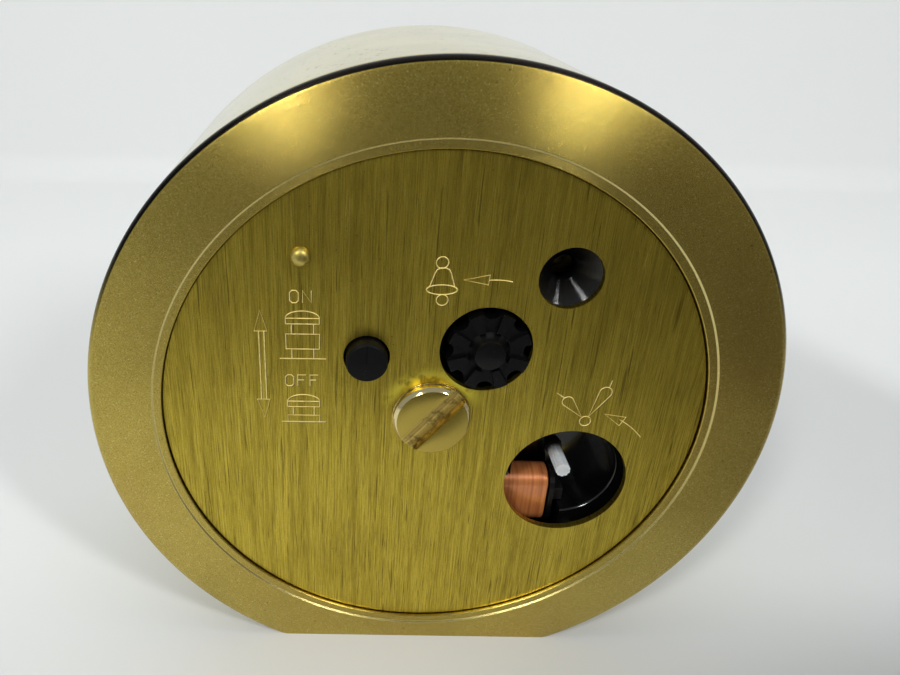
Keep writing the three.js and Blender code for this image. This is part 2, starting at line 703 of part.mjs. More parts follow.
function makeStator() {
  const [y0, y1] = [STATOR_LEVEL[0] - 1, STATOR_LEVEL[1] + 1];
  add('stator', cut(
    block(-21.4, 9.3, ...STATOR_LEVEL, -18.6, -11.2),
    rod(ROTOR, ROTOR_MAGNET_R + 0.6, y0, y1, 32),
    block(-22.5, -18.2, y0, y1, -13.6, -10),
  ), steel);
}

makeGoingTrain();
makeStator();

// ---------------------------------------------------------------- coil

const CORE_HALF_Y = 0.9;
const BOBBIN = { flange: 0.7, rim: 0.15, tube: 1.9 };

// Core bar with two legs down to the stator.
function makeCoilCore() {
  const [z0, z1] = [COIL.z - CORE_HALF, COIL.z + CORE_HALF];
  const footY = STATOR_LEVEL[1] + GAP;
  add('coil_core', join(
    block(CORE_LEGS[0][0], CORE_LEGS[1][1], COIL.y - CORE_HALF_Y, COIL.y + CORE_HALF_Y, z0, z1),
    ...CORE_LEGS.map(([x0, x1]) => block(x0, x1, footY, COIL.y, z0, z1)),
  ), steel);
}

function makeBobbin() {
  const { flange, rim, tube } = BOBBIN;
  const [y, z] = [CORE_HALF_Y + 0.15, CORE_HALF + 0.15];
  add('coil_bobbin', cut(
    join(
      rodX(COIL.x1 - flange, COIL.x0 + flange, COIL.y, COIL.z, tube),
      coilBar(COIL.x1 - flange, COIL.x1, rim),
      coilBar(COIL.x0, COIL.x0 + flange, rim),
    ),
    block(-25, 10, COIL.y - y, COIL.y + y, COIL.z - z, COIL.z + z),
  ), blackMatt);
}

function makeWinding() {
  add('coil_winding', cut(
    coilBar(COIL.x1 + 0.15, COIL.x0 - 0.15, 0),
    rodX(-25, 10, COIL.y, COIL.z, BOBBIN.tube + 0.2, 20),
  ), copper);
}

makeCoilCore();
makeBobbin();
makeWinding();

// ---------------------------------------------------------------- electrics

const BOARD_OUTLINE = [[-22, 25], [22, 25], [26, 21], [26, 4.5], [-26, 4.5], [-26, 21]];
const ON_BOARD = BOARD[1] + 0.1;
const TRIMMER = { r: 2.0, top: 8.3 };
const SOUNDER = { at: { x: 17.5, z: -5.5 }, r: 7.0, y: [BRIDGE[1] + 0.4, 12.4], hole: 1.4 };
const PLUNGER = { foot: 8.6, collar: 3.4 };

function makeBoard() {
  const [y0, y1] = [BOARD[0] - 1, BOARD[1] + 1];
  add('circuit_board', cut(
    slab(outline(BOARD_OUTLINE), ...BOARD),
    rod(ALARM, 1.5, y0, y1, 16),
    ...drills(UPPER_SCREWS, 1.5, y0, y1, 16),
  ), board);
  const slot = block(TRIM.x - 1.2, TRIM.x + 1.2, TRIMMER.top - 0.4, 9, TRIM.z - 0.25, TRIM.z + 0.25);
  add('trimmer', cut(rod(TRIM, TRIMMER.r, ON_BOARD, TRIMMER.top, 24), slot), gearBrass);
  add('quartz_crystal', rodX(12.5, 20.5, BOARD[1] + 1.8, 15.5, 1.5, 20), steel);
  add('timing_chip', block(-1.5, 5.5, ON_BOARD, BOARD[1] + 1.6, 17.5, 22.5), blackMatt);
}

function makeSounder() {
  const { at, r, y, hole } = SOUNDER;
  add('sounder', cut(rod(at, r, ...y, 28), rod(at, hole, y[1] - 1.4, y[1] + 0.6)), blackMatt);
}

// Plunger with a collar behind the cover, and the leaf spring it presses.
function makeStopPlunger() {
  add('stop_plunger', join(
    rod(STOP, STOP_R, PLUNGER.foot, STOP_TOP, 20),
    rod(STOP, PLUNGER.collar, PLUNGER.foot, PLUNGER.foot + 1, 20),
  ), blackMatt);
  add('stop_contact', join(
    block(4.0, 12.5, 7.9, 8.2, 8.4, 10.2),
    block(10.9, 12.5, ON_BOARD, 8.1, 8.4, 10.2),
  ), gearBrass);
}

// Cell with its nub.
function makeBattery() {
  const { half, y, z, r } = CELL;
  add('battery', join(
    rodX(-half, half - 0.8, y, z, r, 32),
    rodX(half - 0.9, half + 0.2, y, z, 1.9, 20),
  ), cellPaint);
}

// A contact at each end of the cell; the minus one has a folded spring.
function makeContacts() {
  add('contact_plus', join(
    block(15.9, 16.4, 1.0, 12.2, -29.5, -21.0),
    block(16.0, 19.6, 11.8, 12.2, -27.5, -23.0),
  ), steel);
  add('contact_minus', join(
    block(-16.5, -16.0, 1.0, 12.2, -29.5, -21.0),
    block(-19.6, -16.1, 11.8, 12.2, -27.5, -23.0),
    block(-15.5, -15.1, 3.0, 7.0, -27.0, -23.4),
    block(-16.3, -15.2, 3.0, 3.5, -27.0, -23.4),
  ), steel);
}

makeBoard();
makeSounder();
makeStopPlunger();
makeBattery();
makeContacts();

// ---------------------------------------------------------------- hands

const HANDS = {
  alarm: {
    length: 19, tail: 0, root: 0.7, tip: 0.35, angle: 210, eye: 4.2, bore: 3.2, y: [-12.0, -11.65],
  },
  hour: {
    length: 20, tail: 5, root: 1.5, tip: 0.9, angle: 304, eye: 3.2, bore: 2.3, y: [-12.8, -12.4],
  },
  minute: {
    length: 29.5, tail: 6, root: 1.2, tip: 0.6, angle: 48, eye: 2.4, bore: 1.45, y: [-13.6, -13.2],
  },
  second: {
    length: 30.5, tail: 9, root: 0.45, tip: 0.25, angle: 180, eye: 1.7, bore: 0.6, y: [-14.4, -14.1],
  },
};
const HAND_COLOURS = { alarm: gearBrass, hour: blackMatt, minute: blackMatt, second: polishedBrass };

// Tapered hand pointing to a clock angle, with a round eye over its arbor.
function hand({ length, tail, root, tip, angle, eye, bore, y }) {
  const turn = angle * DEGREE;
  const ahead = [Math.sin(turn), Math.cos(turn)];
  const side = [Math.cos(turn), -Math.sin(turn)];
  const spot = (along, across) => [
    along * ahead[0] + across * side[0],
    along * ahead[1] + across * side[1],
  ];
  const blade = outline([spot(length, -tip), spot(-tail, -root), spot(-tail, root), spot(length, tip)]);
  const body = join(slab(blade, ...y), rod(CENTRE, eye, ...y, 20));
  return cut(body, rod(CENTRE, bore, y[0] - 1, y[1] + 1, 20));
}

for (const [name, sizes] of Object.entries(HANDS)) {
  add(`${name}_hand`, hand(sizes), HAND_COLOURS[name]);
}

export default group;
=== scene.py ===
"""Round brass alarm clock, seen from behind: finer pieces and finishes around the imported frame."""

import json
import math

import bmesh
import bpy
from mathutils import Matrix, Vector


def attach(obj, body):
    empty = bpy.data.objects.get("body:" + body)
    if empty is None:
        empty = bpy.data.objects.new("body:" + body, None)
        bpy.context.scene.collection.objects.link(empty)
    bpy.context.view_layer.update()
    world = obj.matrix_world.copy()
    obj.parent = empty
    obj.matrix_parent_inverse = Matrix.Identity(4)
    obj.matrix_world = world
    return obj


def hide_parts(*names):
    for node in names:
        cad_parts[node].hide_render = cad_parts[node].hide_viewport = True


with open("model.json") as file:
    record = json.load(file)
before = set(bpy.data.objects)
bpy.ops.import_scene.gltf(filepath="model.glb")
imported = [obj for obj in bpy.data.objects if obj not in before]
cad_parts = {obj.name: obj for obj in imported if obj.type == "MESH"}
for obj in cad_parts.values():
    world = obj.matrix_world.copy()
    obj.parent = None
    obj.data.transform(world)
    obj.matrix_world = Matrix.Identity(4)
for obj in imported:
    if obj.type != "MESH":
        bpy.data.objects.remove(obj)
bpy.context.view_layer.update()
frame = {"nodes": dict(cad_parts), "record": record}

# ---------------------------------------------------------------- sizes, in millimetres

MM = 0.001
BASE_DROP = 38.9          # flat base below the dial's centre
CASE_R = 44.3
BAND = (-19.15, 16.55)    # front rim and rear end of the band
WALL = 2.0
FLAT_WALL = 1.8
GAP = 0.3                 # clearance between pieces that rest on each other
INNER_FLAT = -36.8        # flat edge of the pieces inside the band
INNER_R = 42.0

BACK_Y = 17.95            # satin face of the rear ring
SATIN_R = 43.5            # outer edge of the satin face
STEP_R = 36.0             # turned step near its inner edge
RECESS_R = 34.9           # recess that takes the back plate
LEDGE_R = 33.2            # clear opening of the ring
PLATE_Y = 17.25           # outer face of the back plate
PLATE_IN = 16.25
PLATE_R = 34.74

CENTRE = (0.0, 0.0)
SCREW = (0.0, 0.7)
ALARM = (-6.4, 10.45)
STOP = (8.6, 9.3)
TRIM = (-15.2, 20.0)
SETTING = (-19.3, -9.5)
PIN = (16.65, 22.35)

PLATE_HOLES = [
    ((-6.15, 10.45), 5.75),
    (STOP, 2.9),
    (TRIM, 3.85),
    ((-18.85, -9.5), 8.2),
    (SCREW, 2.6),
    (PIN, 0.85),
]

SCREW_TIP = 8.6           # coin screw
HEAD_R = 5.0
HEAD_TOP = 18.85
SLOT_FLOOR = 17.85
SLOT_HALF = 1.3           # half width of its slot
SLOT_TURN = 50

KNOB_R = 5.2              # alarm knob
KNOB_FOOT = 10.6
KNOB_FLOOR = 17.45
KNOB_TOP = 18.05
KNOB_SINK_R = 2.75        # sunken floor around the hub
SCALLOP = {"at": 5.45, "r": 1.15, "half_angle": 13.3}
HUB_R = 1.87
HUB_TOP = 18.95
LOBES = 8

STOP_R = 2.6              # stop plunger
STOP_TOP = 19.15

COIL = {"x": (-17.95, 1.35), "y": (8.95, 13.95), "z": (-19.8, -11.0), "corner": 2.2}
LINE = 0.085              # half width of the raised lines on the back plate
LINE_Y = PLATE_Y - 0.01
PAINTED_SHADOW_HALF = 0.07            # half width of the painted shadow beside them
PAINTED_SHADOW_Y = PLATE_Y - 0.04
PAINTED_SHADOW_SHIFT = (0.11, -0.09)


def place(x, y, z):
    """A point in metres, from millimetres measured from the dial's centre."""
    return (x * MM, y * MM, (BASE_DROP + z) * MM)


# ---------------------------------------------------------------- modelling steps

def only(obj):
    """Select one object and nothing else."""
    if bpy.context.mode != "OBJECT":
        bpy.ops.object.mode_set(mode="OBJECT")
    bpy.ops.object.select_all(action="DESELECT")
    obj.select_set(True)
    bpy.context.view_layer.objects.active = obj


def settle(name):
    """Name the new object and move its place and turn into its mesh."""
    obj = bpy.context.object
    obj.name = name
    obj.data.name = name
    bpy.ops.object.transform_apply(location=True, rotation=True, scale=True)
    return obj


def rod(name, at, r, y0, y1, sides=96):
    """Cylinder along Y between two levels."""
    bpy.ops.object.select_all(action="DESELECT")
    bpy.ops.mesh.primitive_cylinder_add(
        vertices=sides, radius=r * MM, depth=(y1 - y0) * MM,
        location=place(at[0], (y0 + y1) / 2, at[1]), rotation=(math.pi / 2, 0, 0))
    return settle(name)


def brick(name, x, y, z, turn=0.0):
    """Box between levels, turned by some degrees about Y through its middle."""
    bpy.ops.object.select_all(action="DESELECT")
    bpy.ops.mesh.primitive_cube_add(
        size=1, location=place(sum(x) / 2, sum(y) / 2, sum(z) / 2),
        rotation=(0, math.radians(turn), 0),
        scale=((x[1] - x[0]) * MM, (y[1] - y[0]) * MM, (z[1] - z[0]) * MM))
    return settle(name)


def sheet(name, at, width, depth, rotation=(0, 0, 0)):
    """Flat sheet with its middle at a place, in metres."""
    bpy.ops.object.select_all(action="DESELECT")
    bpy.ops.mesh.primitive_plane_add(size=1, location=at, rotation=rotation)
    bpy.context.object.scale = (width, depth, 1)
    return settle(name)


def around(at, r, degrees):
    """The place at some radius and angle from another one."""
    angle = math.radians(degrees)
    return (at[0] + r * math.cos(angle), at[1] + r * math.sin(angle))


def pick(obj, kind, test):
    """In edit mode, select the vertices, edges or faces that pass the test."""
    bpy.ops.mesh.select_mode(type={"verts": "VERT", "edges": "EDGE", "faces": "FACE"}[kind])
    bpy.ops.mesh.select_all(action="DESELECT")
    mesh = bmesh.from_edit_mesh(obj.data)
    for part in getattr(mesh, kind):
        if test(part):
            part.select_set(True)
    bmesh.update_edit_mesh(obj.data)


def edit(obj):
    only(obj)
    bpy.ops.object.mode_set(mode="EDIT")


def leave():
    bpy.ops.object.mode_set(mode="OBJECT")


def turned(name, at, section, sides=160):
    """Body turned about Y from a closed section of (radius, level) corners."""
    bpy.ops.object.select_all(action="DESELECT")
    bpy.ops.mesh.primitive_circle_add(vertices=len(section), radius=MM, location=place(at[0], 0, at[1]))
    obj = settle(name)
    edit(obj)
    for i, (r, y) in enumerate(section):
        pick(obj, "verts", lambda v, i=i: v.index == i)
        here = bmesh.from_edit_mesh(obj.data).verts
        here.ensure_lookup_table()
        move = Vector(place(at[0] + r, y, at[1])) - here[i].co
        bpy.ops.transform.translate(value=move)
    bpy.ops.mesh.select_all(action="SELECT")
    bpy.ops.mesh.spin(
        steps=sides, angle=2 * math.pi, center=place(at[0], 0, at[1]), axis=(0, 1, 0))
    bpy.ops.mesh.select_all(action="SELECT")
    bpy.ops.mesh.remove_doubles(threshold=2e-6)
    bpy.ops.mesh.normals_make_consistent(inside=False)
    leave()
    return obj


def turn_up(obj, at_edge, height, bend, segments):
    """Turn one edge of a lying sheet up, with a rounded bend."""
    edit(obj)
    pick(obj, "edges", lambda e: all(at_edge(v.co) for v in e.verts))
    bpy.ops.mesh.extrude_region_move(TRANSFORM_OT_translate={"value": (0, 0, height)})
    pick(obj, "edges", lambda e: all(at_edge(v.co) and v.co.z < 2 * MM for v in e.verts))
    bpy.ops.mesh.bevel(offset=bend, segments=segments, affect="EDGES")
    leave()
    return obj


def flatten(obj, level):
    """Cut away what lies below a level and close the cut."""
    edit(obj)
    bpy.ops.mesh.select_all(action="SELECT")
    bpy.ops.mesh.bisect(
        plane_co=place(0, 0, level), plane_no=(0, 0, 1), use_fill=True, clear_inner=True)
    leave()
    return obj


def combine(obj, operation, *tools):
    """Boolean with each tool in turn. The tools are used up."""
    for tool in tools:
        only(obj)
        step = obj.modifiers.new("step", "BOOLEAN")
        step.operation = operation
        step.solver = "EXACT"
        step.object = tool
        bpy.ops.object.modifier_apply(modifier=step.name)
        bpy.data.objects.remove(tool)
    return obj


def carve(obj, *tools):
    return combine(obj, "DIFFERENCE", *tools)


def weld(obj, *tools):
    return combine(obj, "UNION", *tools)


def smooth(obj, angle=38):
    """Smooth shading, with edges sharper than the angle kept."""
    only(obj)
    bpy.ops.object.shade_smooth_by_angle(angle=math.radians(angle))
    return obj


def soften(obj, width, segments=2, angle=30):
    """Round every edge sharper than the angle."""
    only(obj)
    step = obj.modifiers.new("edge", "BEVEL")
    step.width = width * MM
    step.segments = segments
    step.limit_method = "ANGLE"
    step.angle_limit = math.radians(angle)
    bpy.ops.object.modifier_apply(modifier=step.name)
    smooth(obj)
    even = obj.modifiers.new("even", "WEIGHTED_NORMAL")
    even.keep_sharp = True
    bpy.ops.object.modifier_apply(modifier=even.name)
    return obj


def join(name, *parts):
    bpy.ops.object.select_all(action="DESELECT")
    for part in parts:
        part.select_set(True)
    bpy.context.view_layer.objects.active = parts[0]
    bpy.ops.object.join()
    parts[0].name = name
    return parts[0]


def turn_about(obj, at, degrees):
    """Turn a piece about Y through a place, in its mesh."""
    middle = Matrix.Translation(place(at[0], 0, at[1]))
    obj.data.transform(middle @ Matrix.Rotation(math.radians(degrees), 4, "Y") @ middle.inverted())
    return obj


def fit(obj, body, finish, look, *nodes):
    """Give a piece its material and body, and hide the CAD nodes it stands for. The finish argument is not
    used.
    """
    obj.data.materials.clear()
    obj.data.materials.append(look)
    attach(obj, body)
    if nodes:
        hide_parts(*nodes)
    return obj


# ---------------------------------------------------------------- shader maths

class Field:
    """A number, colour or vector that varies over a surface. Arithmetic on it adds Math nodes."""

    def __init__(self, look, socket):
        self.look = look
        self.socket = socket

    def math(self, operation, *values):
        sockets = dict(enumerate(values))
        return self.look.node("ShaderNodeMath", {"operation": operation}, sockets)

    def __add__(self, other):
        return self.math("ADD", self, other)

    def __sub__(self, other):
        return self.math("SUBTRACT", self, other)

    def __rsub__(self, other):
        return self.math("SUBTRACT", other, self)

    def __mul__(self, other):
        return self.math("MULTIPLY", self, other)

    def __truediv__(self, other):
        return self.math("DIVIDE", self, other)

    def sine(self):
        return self.math("SINE", self)

    def root(self):
        return self.math("SQRT", self)

    def between(self, low, high):
        """0 below low, 1 above high and a soft rise between them. Low may be the larger."""
        return self.look.node(
            "ShaderNodeMapRange", {"interpolation_type": "SMOOTHSTEP"},
            {"Value": self, "From Min": low, "From Max": high})

    __radd__ = __add__
    __rmul__ = __mul__


class Look:
    """One material, with a Principled shader and the place on the object in millimetres."""

    def __init__(self, name, **settings):
        self.material = bpy.data.materials.new(name)
        self.material.use_nodes = True
        self.tree = self.material.node_tree
        self.shader = self.tree.nodes["Principled BSDF"]
        for socket, value in settings.items():
            self.shader.inputs[socket.replace("_", " ")].default_value = value
        where = self.node("ShaderNodeTexCoord", out="Object")
        self.place = self.node(
            "ShaderNodeMapping", sockets={
                "Vector": where, "Scale": (1 / MM, 1 / MM, 1 / MM), "Location": (0, 0, -BASE_DROP)})
        split = self.node("ShaderNodeSeparateXYZ", sockets={"Vector": self.place})
        outputs = split.socket.node.outputs
        self.x, self.y, self.z = [Field(self, output) for output in outputs]

    def node(self, kind, settings=None, sockets=None, out=0):
        made = self.tree.nodes.new(kind)
        for name, value in (settings or {}).items():
            setattr(made, name, value)
        for name, value in (sockets or {}).items():
            self.feed(made.inputs[name], value)
        return Field(self, made.outputs[out])

    def feed(self, socket, value):
        if isinstance(value, Field):
            self.tree.links.new(value.socket, socket)
        elif socket.type == "RGBA":
            socket.default_value = (*value[:3], 1.0)
        else:
            socket.default_value = value

    def stretched(self, scale):
        return self.node("ShaderNodeMapping", sockets={"Vector": self.place, "Scale": scale})

    def noise(self, scale, detail=3.0, rough=0.55, stretch=None):
        vector = self.stretched(stretch) if stretch else self.place
        return self.node(
            "ShaderNodeTexNoise",
            sockets={"Vector": vector, "Scale": scale, "Detail": detail, "Roughness": rough})

    def line_noise(self, along, scale, detail=3.0):
        """Noise that changes along one value only, which makes stripes."""
        return self.node(
            "ShaderNodeTexNoise", {"noise_dimensions": "1D"},
            {"W": along, "Scale": scale, "Detail": detail})

    def cells(self, scale):
        return self.node("ShaderNodeTexVoronoi", sockets={"Vector": self.place, "Scale": scale})

    def mix(self, share, first, second):
        made = self.node(
            "ShaderNodeMix", {"data_type": "RGBA"}, {"Factor": share}, out=2)
        self.feed(made.socket.node.inputs[6], first)
        self.feed(made.socket.node.inputs[7], second)
        return made

    def radius(self, at=CENTRE):
        x = self.x - at[0]
        z = self.z - at[1]
        return (x * x + z * z).root()

    def spun(self, centre, spread, base):
        """Normal of a lathe-turned face: it leans along the radius by a different amount everywhere."""
        dice = self.node("ShaderNodeTexWhiteNoise", sockets={"Vector": self.place}, out=1)
        split = self.node("ShaderNodeSeparateColor", sockets={"Color": dice})
        second = Field(self, split.socket.node.outputs[1])
        lean = (split + second - 1.0) * spread / self.radius(centre)
        tilt = self.node(
            "ShaderNodeCombineXYZ",
            sockets={"X": (self.x - centre[0]) * lean, "Z": (self.z - centre[1]) * lean})
        leaning = self.node("ShaderNodeVectorMath", {"operation": "ADD"}, {0: base, 1: tilt})
        return self.node("ShaderNodeVectorMath", {"operation": "NORMALIZE"}, {0: leaning})

    def bump(self, height, distance, strength=1.0):
        normal = self.node(
            "ShaderNodeBump",
            sockets={"Height": height, "Distance": distance * MM, "Strength": strength})
        self.feed(self.shader.inputs["Normal"], normal)

    def finish(self, **fields):
        for name, value in fields.items():
            self.feed(self.shader.inputs[name.replace("_", " ")], value)
        return self.material


# ---------------------------------------------------------------- finishes

def polished_brass():
    """Polished brass with clouds of tarnish, small pits and smears."""
    look = Look("polished_brass", Metallic=1.0)
    cloud = look.noise(0.11, 4.0)
    fine = look.noise(2.4, 5.0, 0.7)
    streaky = look.node(
        "ShaderNodeTexVoronoi", sockets={"Vector": look.stretched((0.75, 1.5, 1.5)), "Scale": 1.0})
    pits = streaky.between(0.24, 0.12) * fine.between(0.44, 0.54) * look.noise(0.16).between(0.46, 0.56)
    smear = look.noise(0.5, 3.0, stretch=(0.2, 1.0, 0.2))
    colour = look.mix(cloud.between(0.35, 0.7) * 0.35, (0.79, 0.71, 0.37), (0.44, 0.35, 0.14))
    colour = look.mix(pits * 0.85, colour, (0.08, 0.06, 0.03))
    look.bump(fine * 0.3 + (1 - pits), 0.012, 0.35)
    return look.finish(Base_Color=colour, Roughness=0.07 + smear * 0.07 + pits * 0.4)


def satin_brass():
    """Lathe-turned satin face: random lean of the surface along the radius gives its fan-shaped shine."""
    look = Look("satin_brass", Metallic=1.0)
    r = look.radius()
    speckle = look.noise(4.2, 4.0, 0.75)
    grain = look.noise(13.0, 2.0, 0.8)
    cloud = look.noise(0.07, 4.0)
    warm = look.noise(0.045, 2.0)
    worn = look.cells(0.55).between(0.12, 0.05) * cloud.between(0.45, 0.6)
    colour = look.mix(speckle.between(0.38, 0.66) * 0.5, (0.545, 0.425, 0.095), (0.385, 0.285, 0.056))
    colour = look.mix(warm.between(0.45, 0.65) * 0.4, colour, (0.50, 0.345, 0.085))
    colour = look.mix(cloud.between(0.42, 0.72) * 0.35, colour, (0.33, 0.245, 0.048))
    colour = look.mix(grain.between(0.60, 0.74) * 0.4, colour, (0.80, 0.68, 0.27))
    colour = look.mix(worn * 0.5, colour, (0.13, 0.095, 0.03))
    spots = look.noise(5.0, 2.0, 0.6)
    colour = look.mix(spots.between(0.60, 0.68) * 0.5, colour, (0.90, 0.78, 0.34))
    colour = look.mix(spots.between(0.40, 0.32) * 0.4, colour, (0.20, 0.145, 0.035))
    step = r.between(36.2, 36.1) * r.between(35.8, 35.9)
    # Painted highlight: the turned step is painted pale, and paler towards the top of the ring.
    painted_step_glint = step * grain.between(0.25, 0.55) * (0.5 + look.z.between(5.0, 25.0) * 0.5)
    colour = look.mix(painted_step_glint, colour, (0.84, 0.74, 0.35))
    # Painted shade: the joint at the ring's outer edge is painted near black across its upper part only,
    # where the edge faces down.
    seam = r.between(43.68, 43.82) * look.z.between(6.0, 24.0)
    colour = look.mix(seam, colour, (0.012, 0.010, 0.008))
    pitted = look.node(
        "ShaderNodeBump", sockets={"Height": grain * 0.5 + speckle, "Distance": 0.010 * MM})
    normal = look.spun(CENTRE, (1 - step * 0.6) * 0.55, pitted)
    return look.finish(Base_Color=colour, Roughness=0.20 + speckle * 0.10, Normal=normal)


def brushed_brass():
    """Plate brushed from top to bottom, scratched and dirty, with a painted yellow reflection of the coin
    screw just above it.
    """
    look = Look("brushed_brass", Metallic=1.0)
    hair = look.noise(1.0, 5.0, 0.75, stretch=(9.5, 1.0, 0.10))
    grit = look.noise(5.5, 3.0, 0.8)
    fine = look.noise(1.0, 3.0, 0.7, stretch=(17.0, 1.0, 0.35))
    band = look.noise(1.0, 3.0, 0.6, stretch=(1.1, 1.0, 0.03))
    scratch = look.noise(1.0, 2.0, 0.5, stretch=(5.2, 1.0, 0.16))
    deep = look.noise(1.0, 2.0, 0.5, stretch=(3.1, 1.0, 0.09))
    cloud = look.noise(0.06, 3.0)
    specks = look.cells(0.8).between(0.09, 0.04) * cloud.between(0.5, 0.6)
    colour = look.mix(hair.between(0.34, 0.68), (0.74, 0.580, 0.082), (0.42, 0.310, 0.034))
    colour = look.mix(band.between(0.42, 0.7) * 0.45, colour, (0.28, 0.205, 0.022))
    colour = look.mix(scratch.between(0.60, 0.72) * 0.62, colour, (0.085, 0.062, 0.014))
    colour = look.mix(deep.between(0.64, 0.70) * 0.55, colour, (0.060, 0.042, 0.010))
    colour = look.mix(cloud.between(0.45, 0.75) * 0.3, colour, (0.21, 0.15, 0.019))
    colour = look.mix(fine.between(0.52, 0.66) * 0.42, colour, (0.12, 0.086, 0.018))
    colour = look.mix(fine.between(0.46, 0.30) * 0.45, colour, (0.90, 0.73, 0.16))
    colour = look.mix(grit.between(0.50, 0.68) * 0.35, colour, (0.16, 0.115, 0.025))
    colour = look.mix(specks * 0.7, colour, (0.05, 0.035, 0.012))
    # Painted reflection: a bright yellow patch above the coin screw stands for light thrown onto the plate
    # by its head.
    painted_screw_glow = look.radius(SCREW).between(7.6, 5.4) * (look.z - SCREW[1]).between(1.0, 4.5)
    painted_screw_glow = painted_screw_glow * (look.noise(0.55, 2.0).between(0.36, 0.50) * 0.8 + 0.2)
    colour = look.mix(painted_screw_glow, colour, (1.0, 0.86, 0.10))
    look.bump(hair + grit * 0.4 - scratch.between(0.6, 0.75) * 0.6, 0.03, 0.45)
    rough = 0.30 + hair * 0.16 + scratch.between(0.6, 0.72) * 0.2
    return look.finish(Base_Color=colour, Roughness=rough)


def screw_brass():
    """Polished head with a scuffed, browned slot."""
    look = Look("screw_brass", Metallic=1.0)
    floor = look.y.between(18.5, 18.2)
    across = look.x * math.sin(math.radians(SLOT_TURN)) + (look.z - SCREW[1]) * math.cos(
        math.radians(SLOT_TURN))
    streak = look.line_noise(across, 3.2, 4.0)
    rough_spots = look.noise(1.5, 5.0, 0.75)
    scuff = rough_spots.between(0.45, 0.62)
    dirt = look.noise(0.7, 4.0, 0.7).between(0.48, 0.64)
    face = look.mix(look.noise(0.35, 3.0) * 0.5, (0.52, 0.40, 0.085), (0.43, 0.32, 0.060))
    slot = look.mix(streak.between(0.35, 0.65), (0.74, 0.56, 0.16), (0.46, 0.32, 0.08))
    slot = look.mix(dirt * 0.6, slot, (0.06, 0.035, 0.012))
    slot = look.mix(scuff * streak.between(0.55, 0.7), slot, (0.62, 0.52, 0.25))
    colour = look.mix(floor, face, slot)
    rim = look.radius(SCREW).between(4.5, 4.62)
    colour = look.mix(rim * (1 - floor), colour, (0.84, 0.72, 0.38))
    look.bump(floor * (rough_spots + streak) + look.noise(9.0) * 0.03, 0.06, 0.6)
    return look.finish(Base_Color=colour, Roughness=0.27 + floor * 0.14 - rim * 0.19)


def gear_brass():
    """Clean brass with faint turning marks."""
    look = Look("gear_brass", Metallic=1.0)
    stamp = look.noise(1.2, 4.0)
    turn = look.line_noise(look.radius(), 6.0)
    colour = look.mix(stamp.between(0.35, 0.7), (0.76, 0.60, 0.27), (0.55, 0.41, 0.16))
    colour = look.mix(turn.between(0.5, 0.7) * 0.25, colour, (0.85, 0.72, 0.40))
    look.bump(stamp + turn * 0.5, 0.01, 0.3)
    return look.finish(Base_Color=colour, Roughness=0.24 + stamp * 0.14)


def steel():
    """Steel with a fine grain."""
    look = Look("steel", Metallic=1.0)
    grain = look.noise(3.5, 4.0)
    cloud = look.noise(0.4, 3.0)
    colour = look.mix(cloud.between(0.35, 0.7), (0.62, 0.62, 0.61), (0.44, 0.44, 0.45))
    look.bump(grain, 0.01, 0.25)
    return look.finish(Base_Color=colour, Roughness=0.22 + grain * 0.16)


def black_gloss():
    """Moulded glossy plastic with a little dust."""
    look = Look("black_gloss", Specular_IOR_Level=0.5, Coat_Weight=0.3, Coat_Roughness=0.05)
    ripple = look.noise(0.5, 2.0)
    dust = look.cells(1.7).between(0.07, 0.03)
    colour = look.mix(ripple * 0.6, (0.0022, 0.0022, 0.0026), (0.0040, 0.0038, 0.0036))
    colour = look.mix(dust * 0.2, colour, (0.10, 0.10, 0.10))
    look.bump(ripple + dust * 0.2, 0.03, 0.3)
    return look.finish(Base_Color=colour, Roughness=0.12 + ripple * 0.08 + dust * 0.3)


def funnel_black():
    """Turned black plastic: the lamps show as streaks that run down the funnel."""
    look = Look("funnel_black", Specular_IOR_Level=0.5)
    ripple = look.noise(1.5, 3.0)
    colour = look.mix(ripple, (0.0022, 0.0022, 0.0026), (0.0040, 0.0038, 0.0036))
    pitted = look.node("ShaderNodeBump", sockets={"Height": ripple, "Distance": 0.010 * MM})
    normal = look.spun(TRIM, 0.45, pitted)
    return look.finish(Base_Color=colour, Roughness=0.07 + ripple * 0.06, Normal=normal)


def black_satin(name="black_satin", rough=0.24, tone=0.0019, shine=0.22):
    """Moulded black plastic with a fine grain and a little dust."""
    look = Look(name, Specular_IOR_Level=shine)
    grain = look.noise(7.0, 4.0, 0.7)
    cloud = look.noise(0.8, 3.0)
    dust = look.cells(2.2).between(0.11, 0.04) * cloud.between(0.42, 0.55)
    colour = look.mix(grain, (tone, tone, tone * 1.1), (tone * 1.9, tone * 1.9, tone * 2.0))
    colour = look.mix(dust * 0.5, colour, (0.20, 0.20, 0.20))
    look.bump(grain + cloud * 0.5, 0.02, 0.35)
    return look.finish(Base_Color=colour, Roughness=rough + grain * 0.14 + dust * 0.2)


def nylon():
    """White plastic with stains, and painted shade that darkens it towards the foot."""
    look = Look("nylon", Subsurface_Weight=0.25, Subsurface_Scale=0.0012)
    grain = look.noise(2.5, 4.0)
    stain = look.noise(0.7, 3.0).between(0.5, 0.75)
    colour = look.mix(grain * 0.7, (0.86, 0.87, 0.87), (0.74, 0.75, 0.76))
    colour = look.mix(stain * 0.35, colour, (0.40, 0.39, 0.36))
    # Painted shade: the foot of the stub, low in the well, is painted near black.
    painted_foot_shade = look.y.between(10.4, 9.3)
    colour = look.mix(painted_foot_shade, colour, (0.010, 0.010, 0.009))
    look.bump(grain, 0.015, 0.4)
    return look.finish(Base_Color=colour, Roughness=0.36 + grain * 0.15)


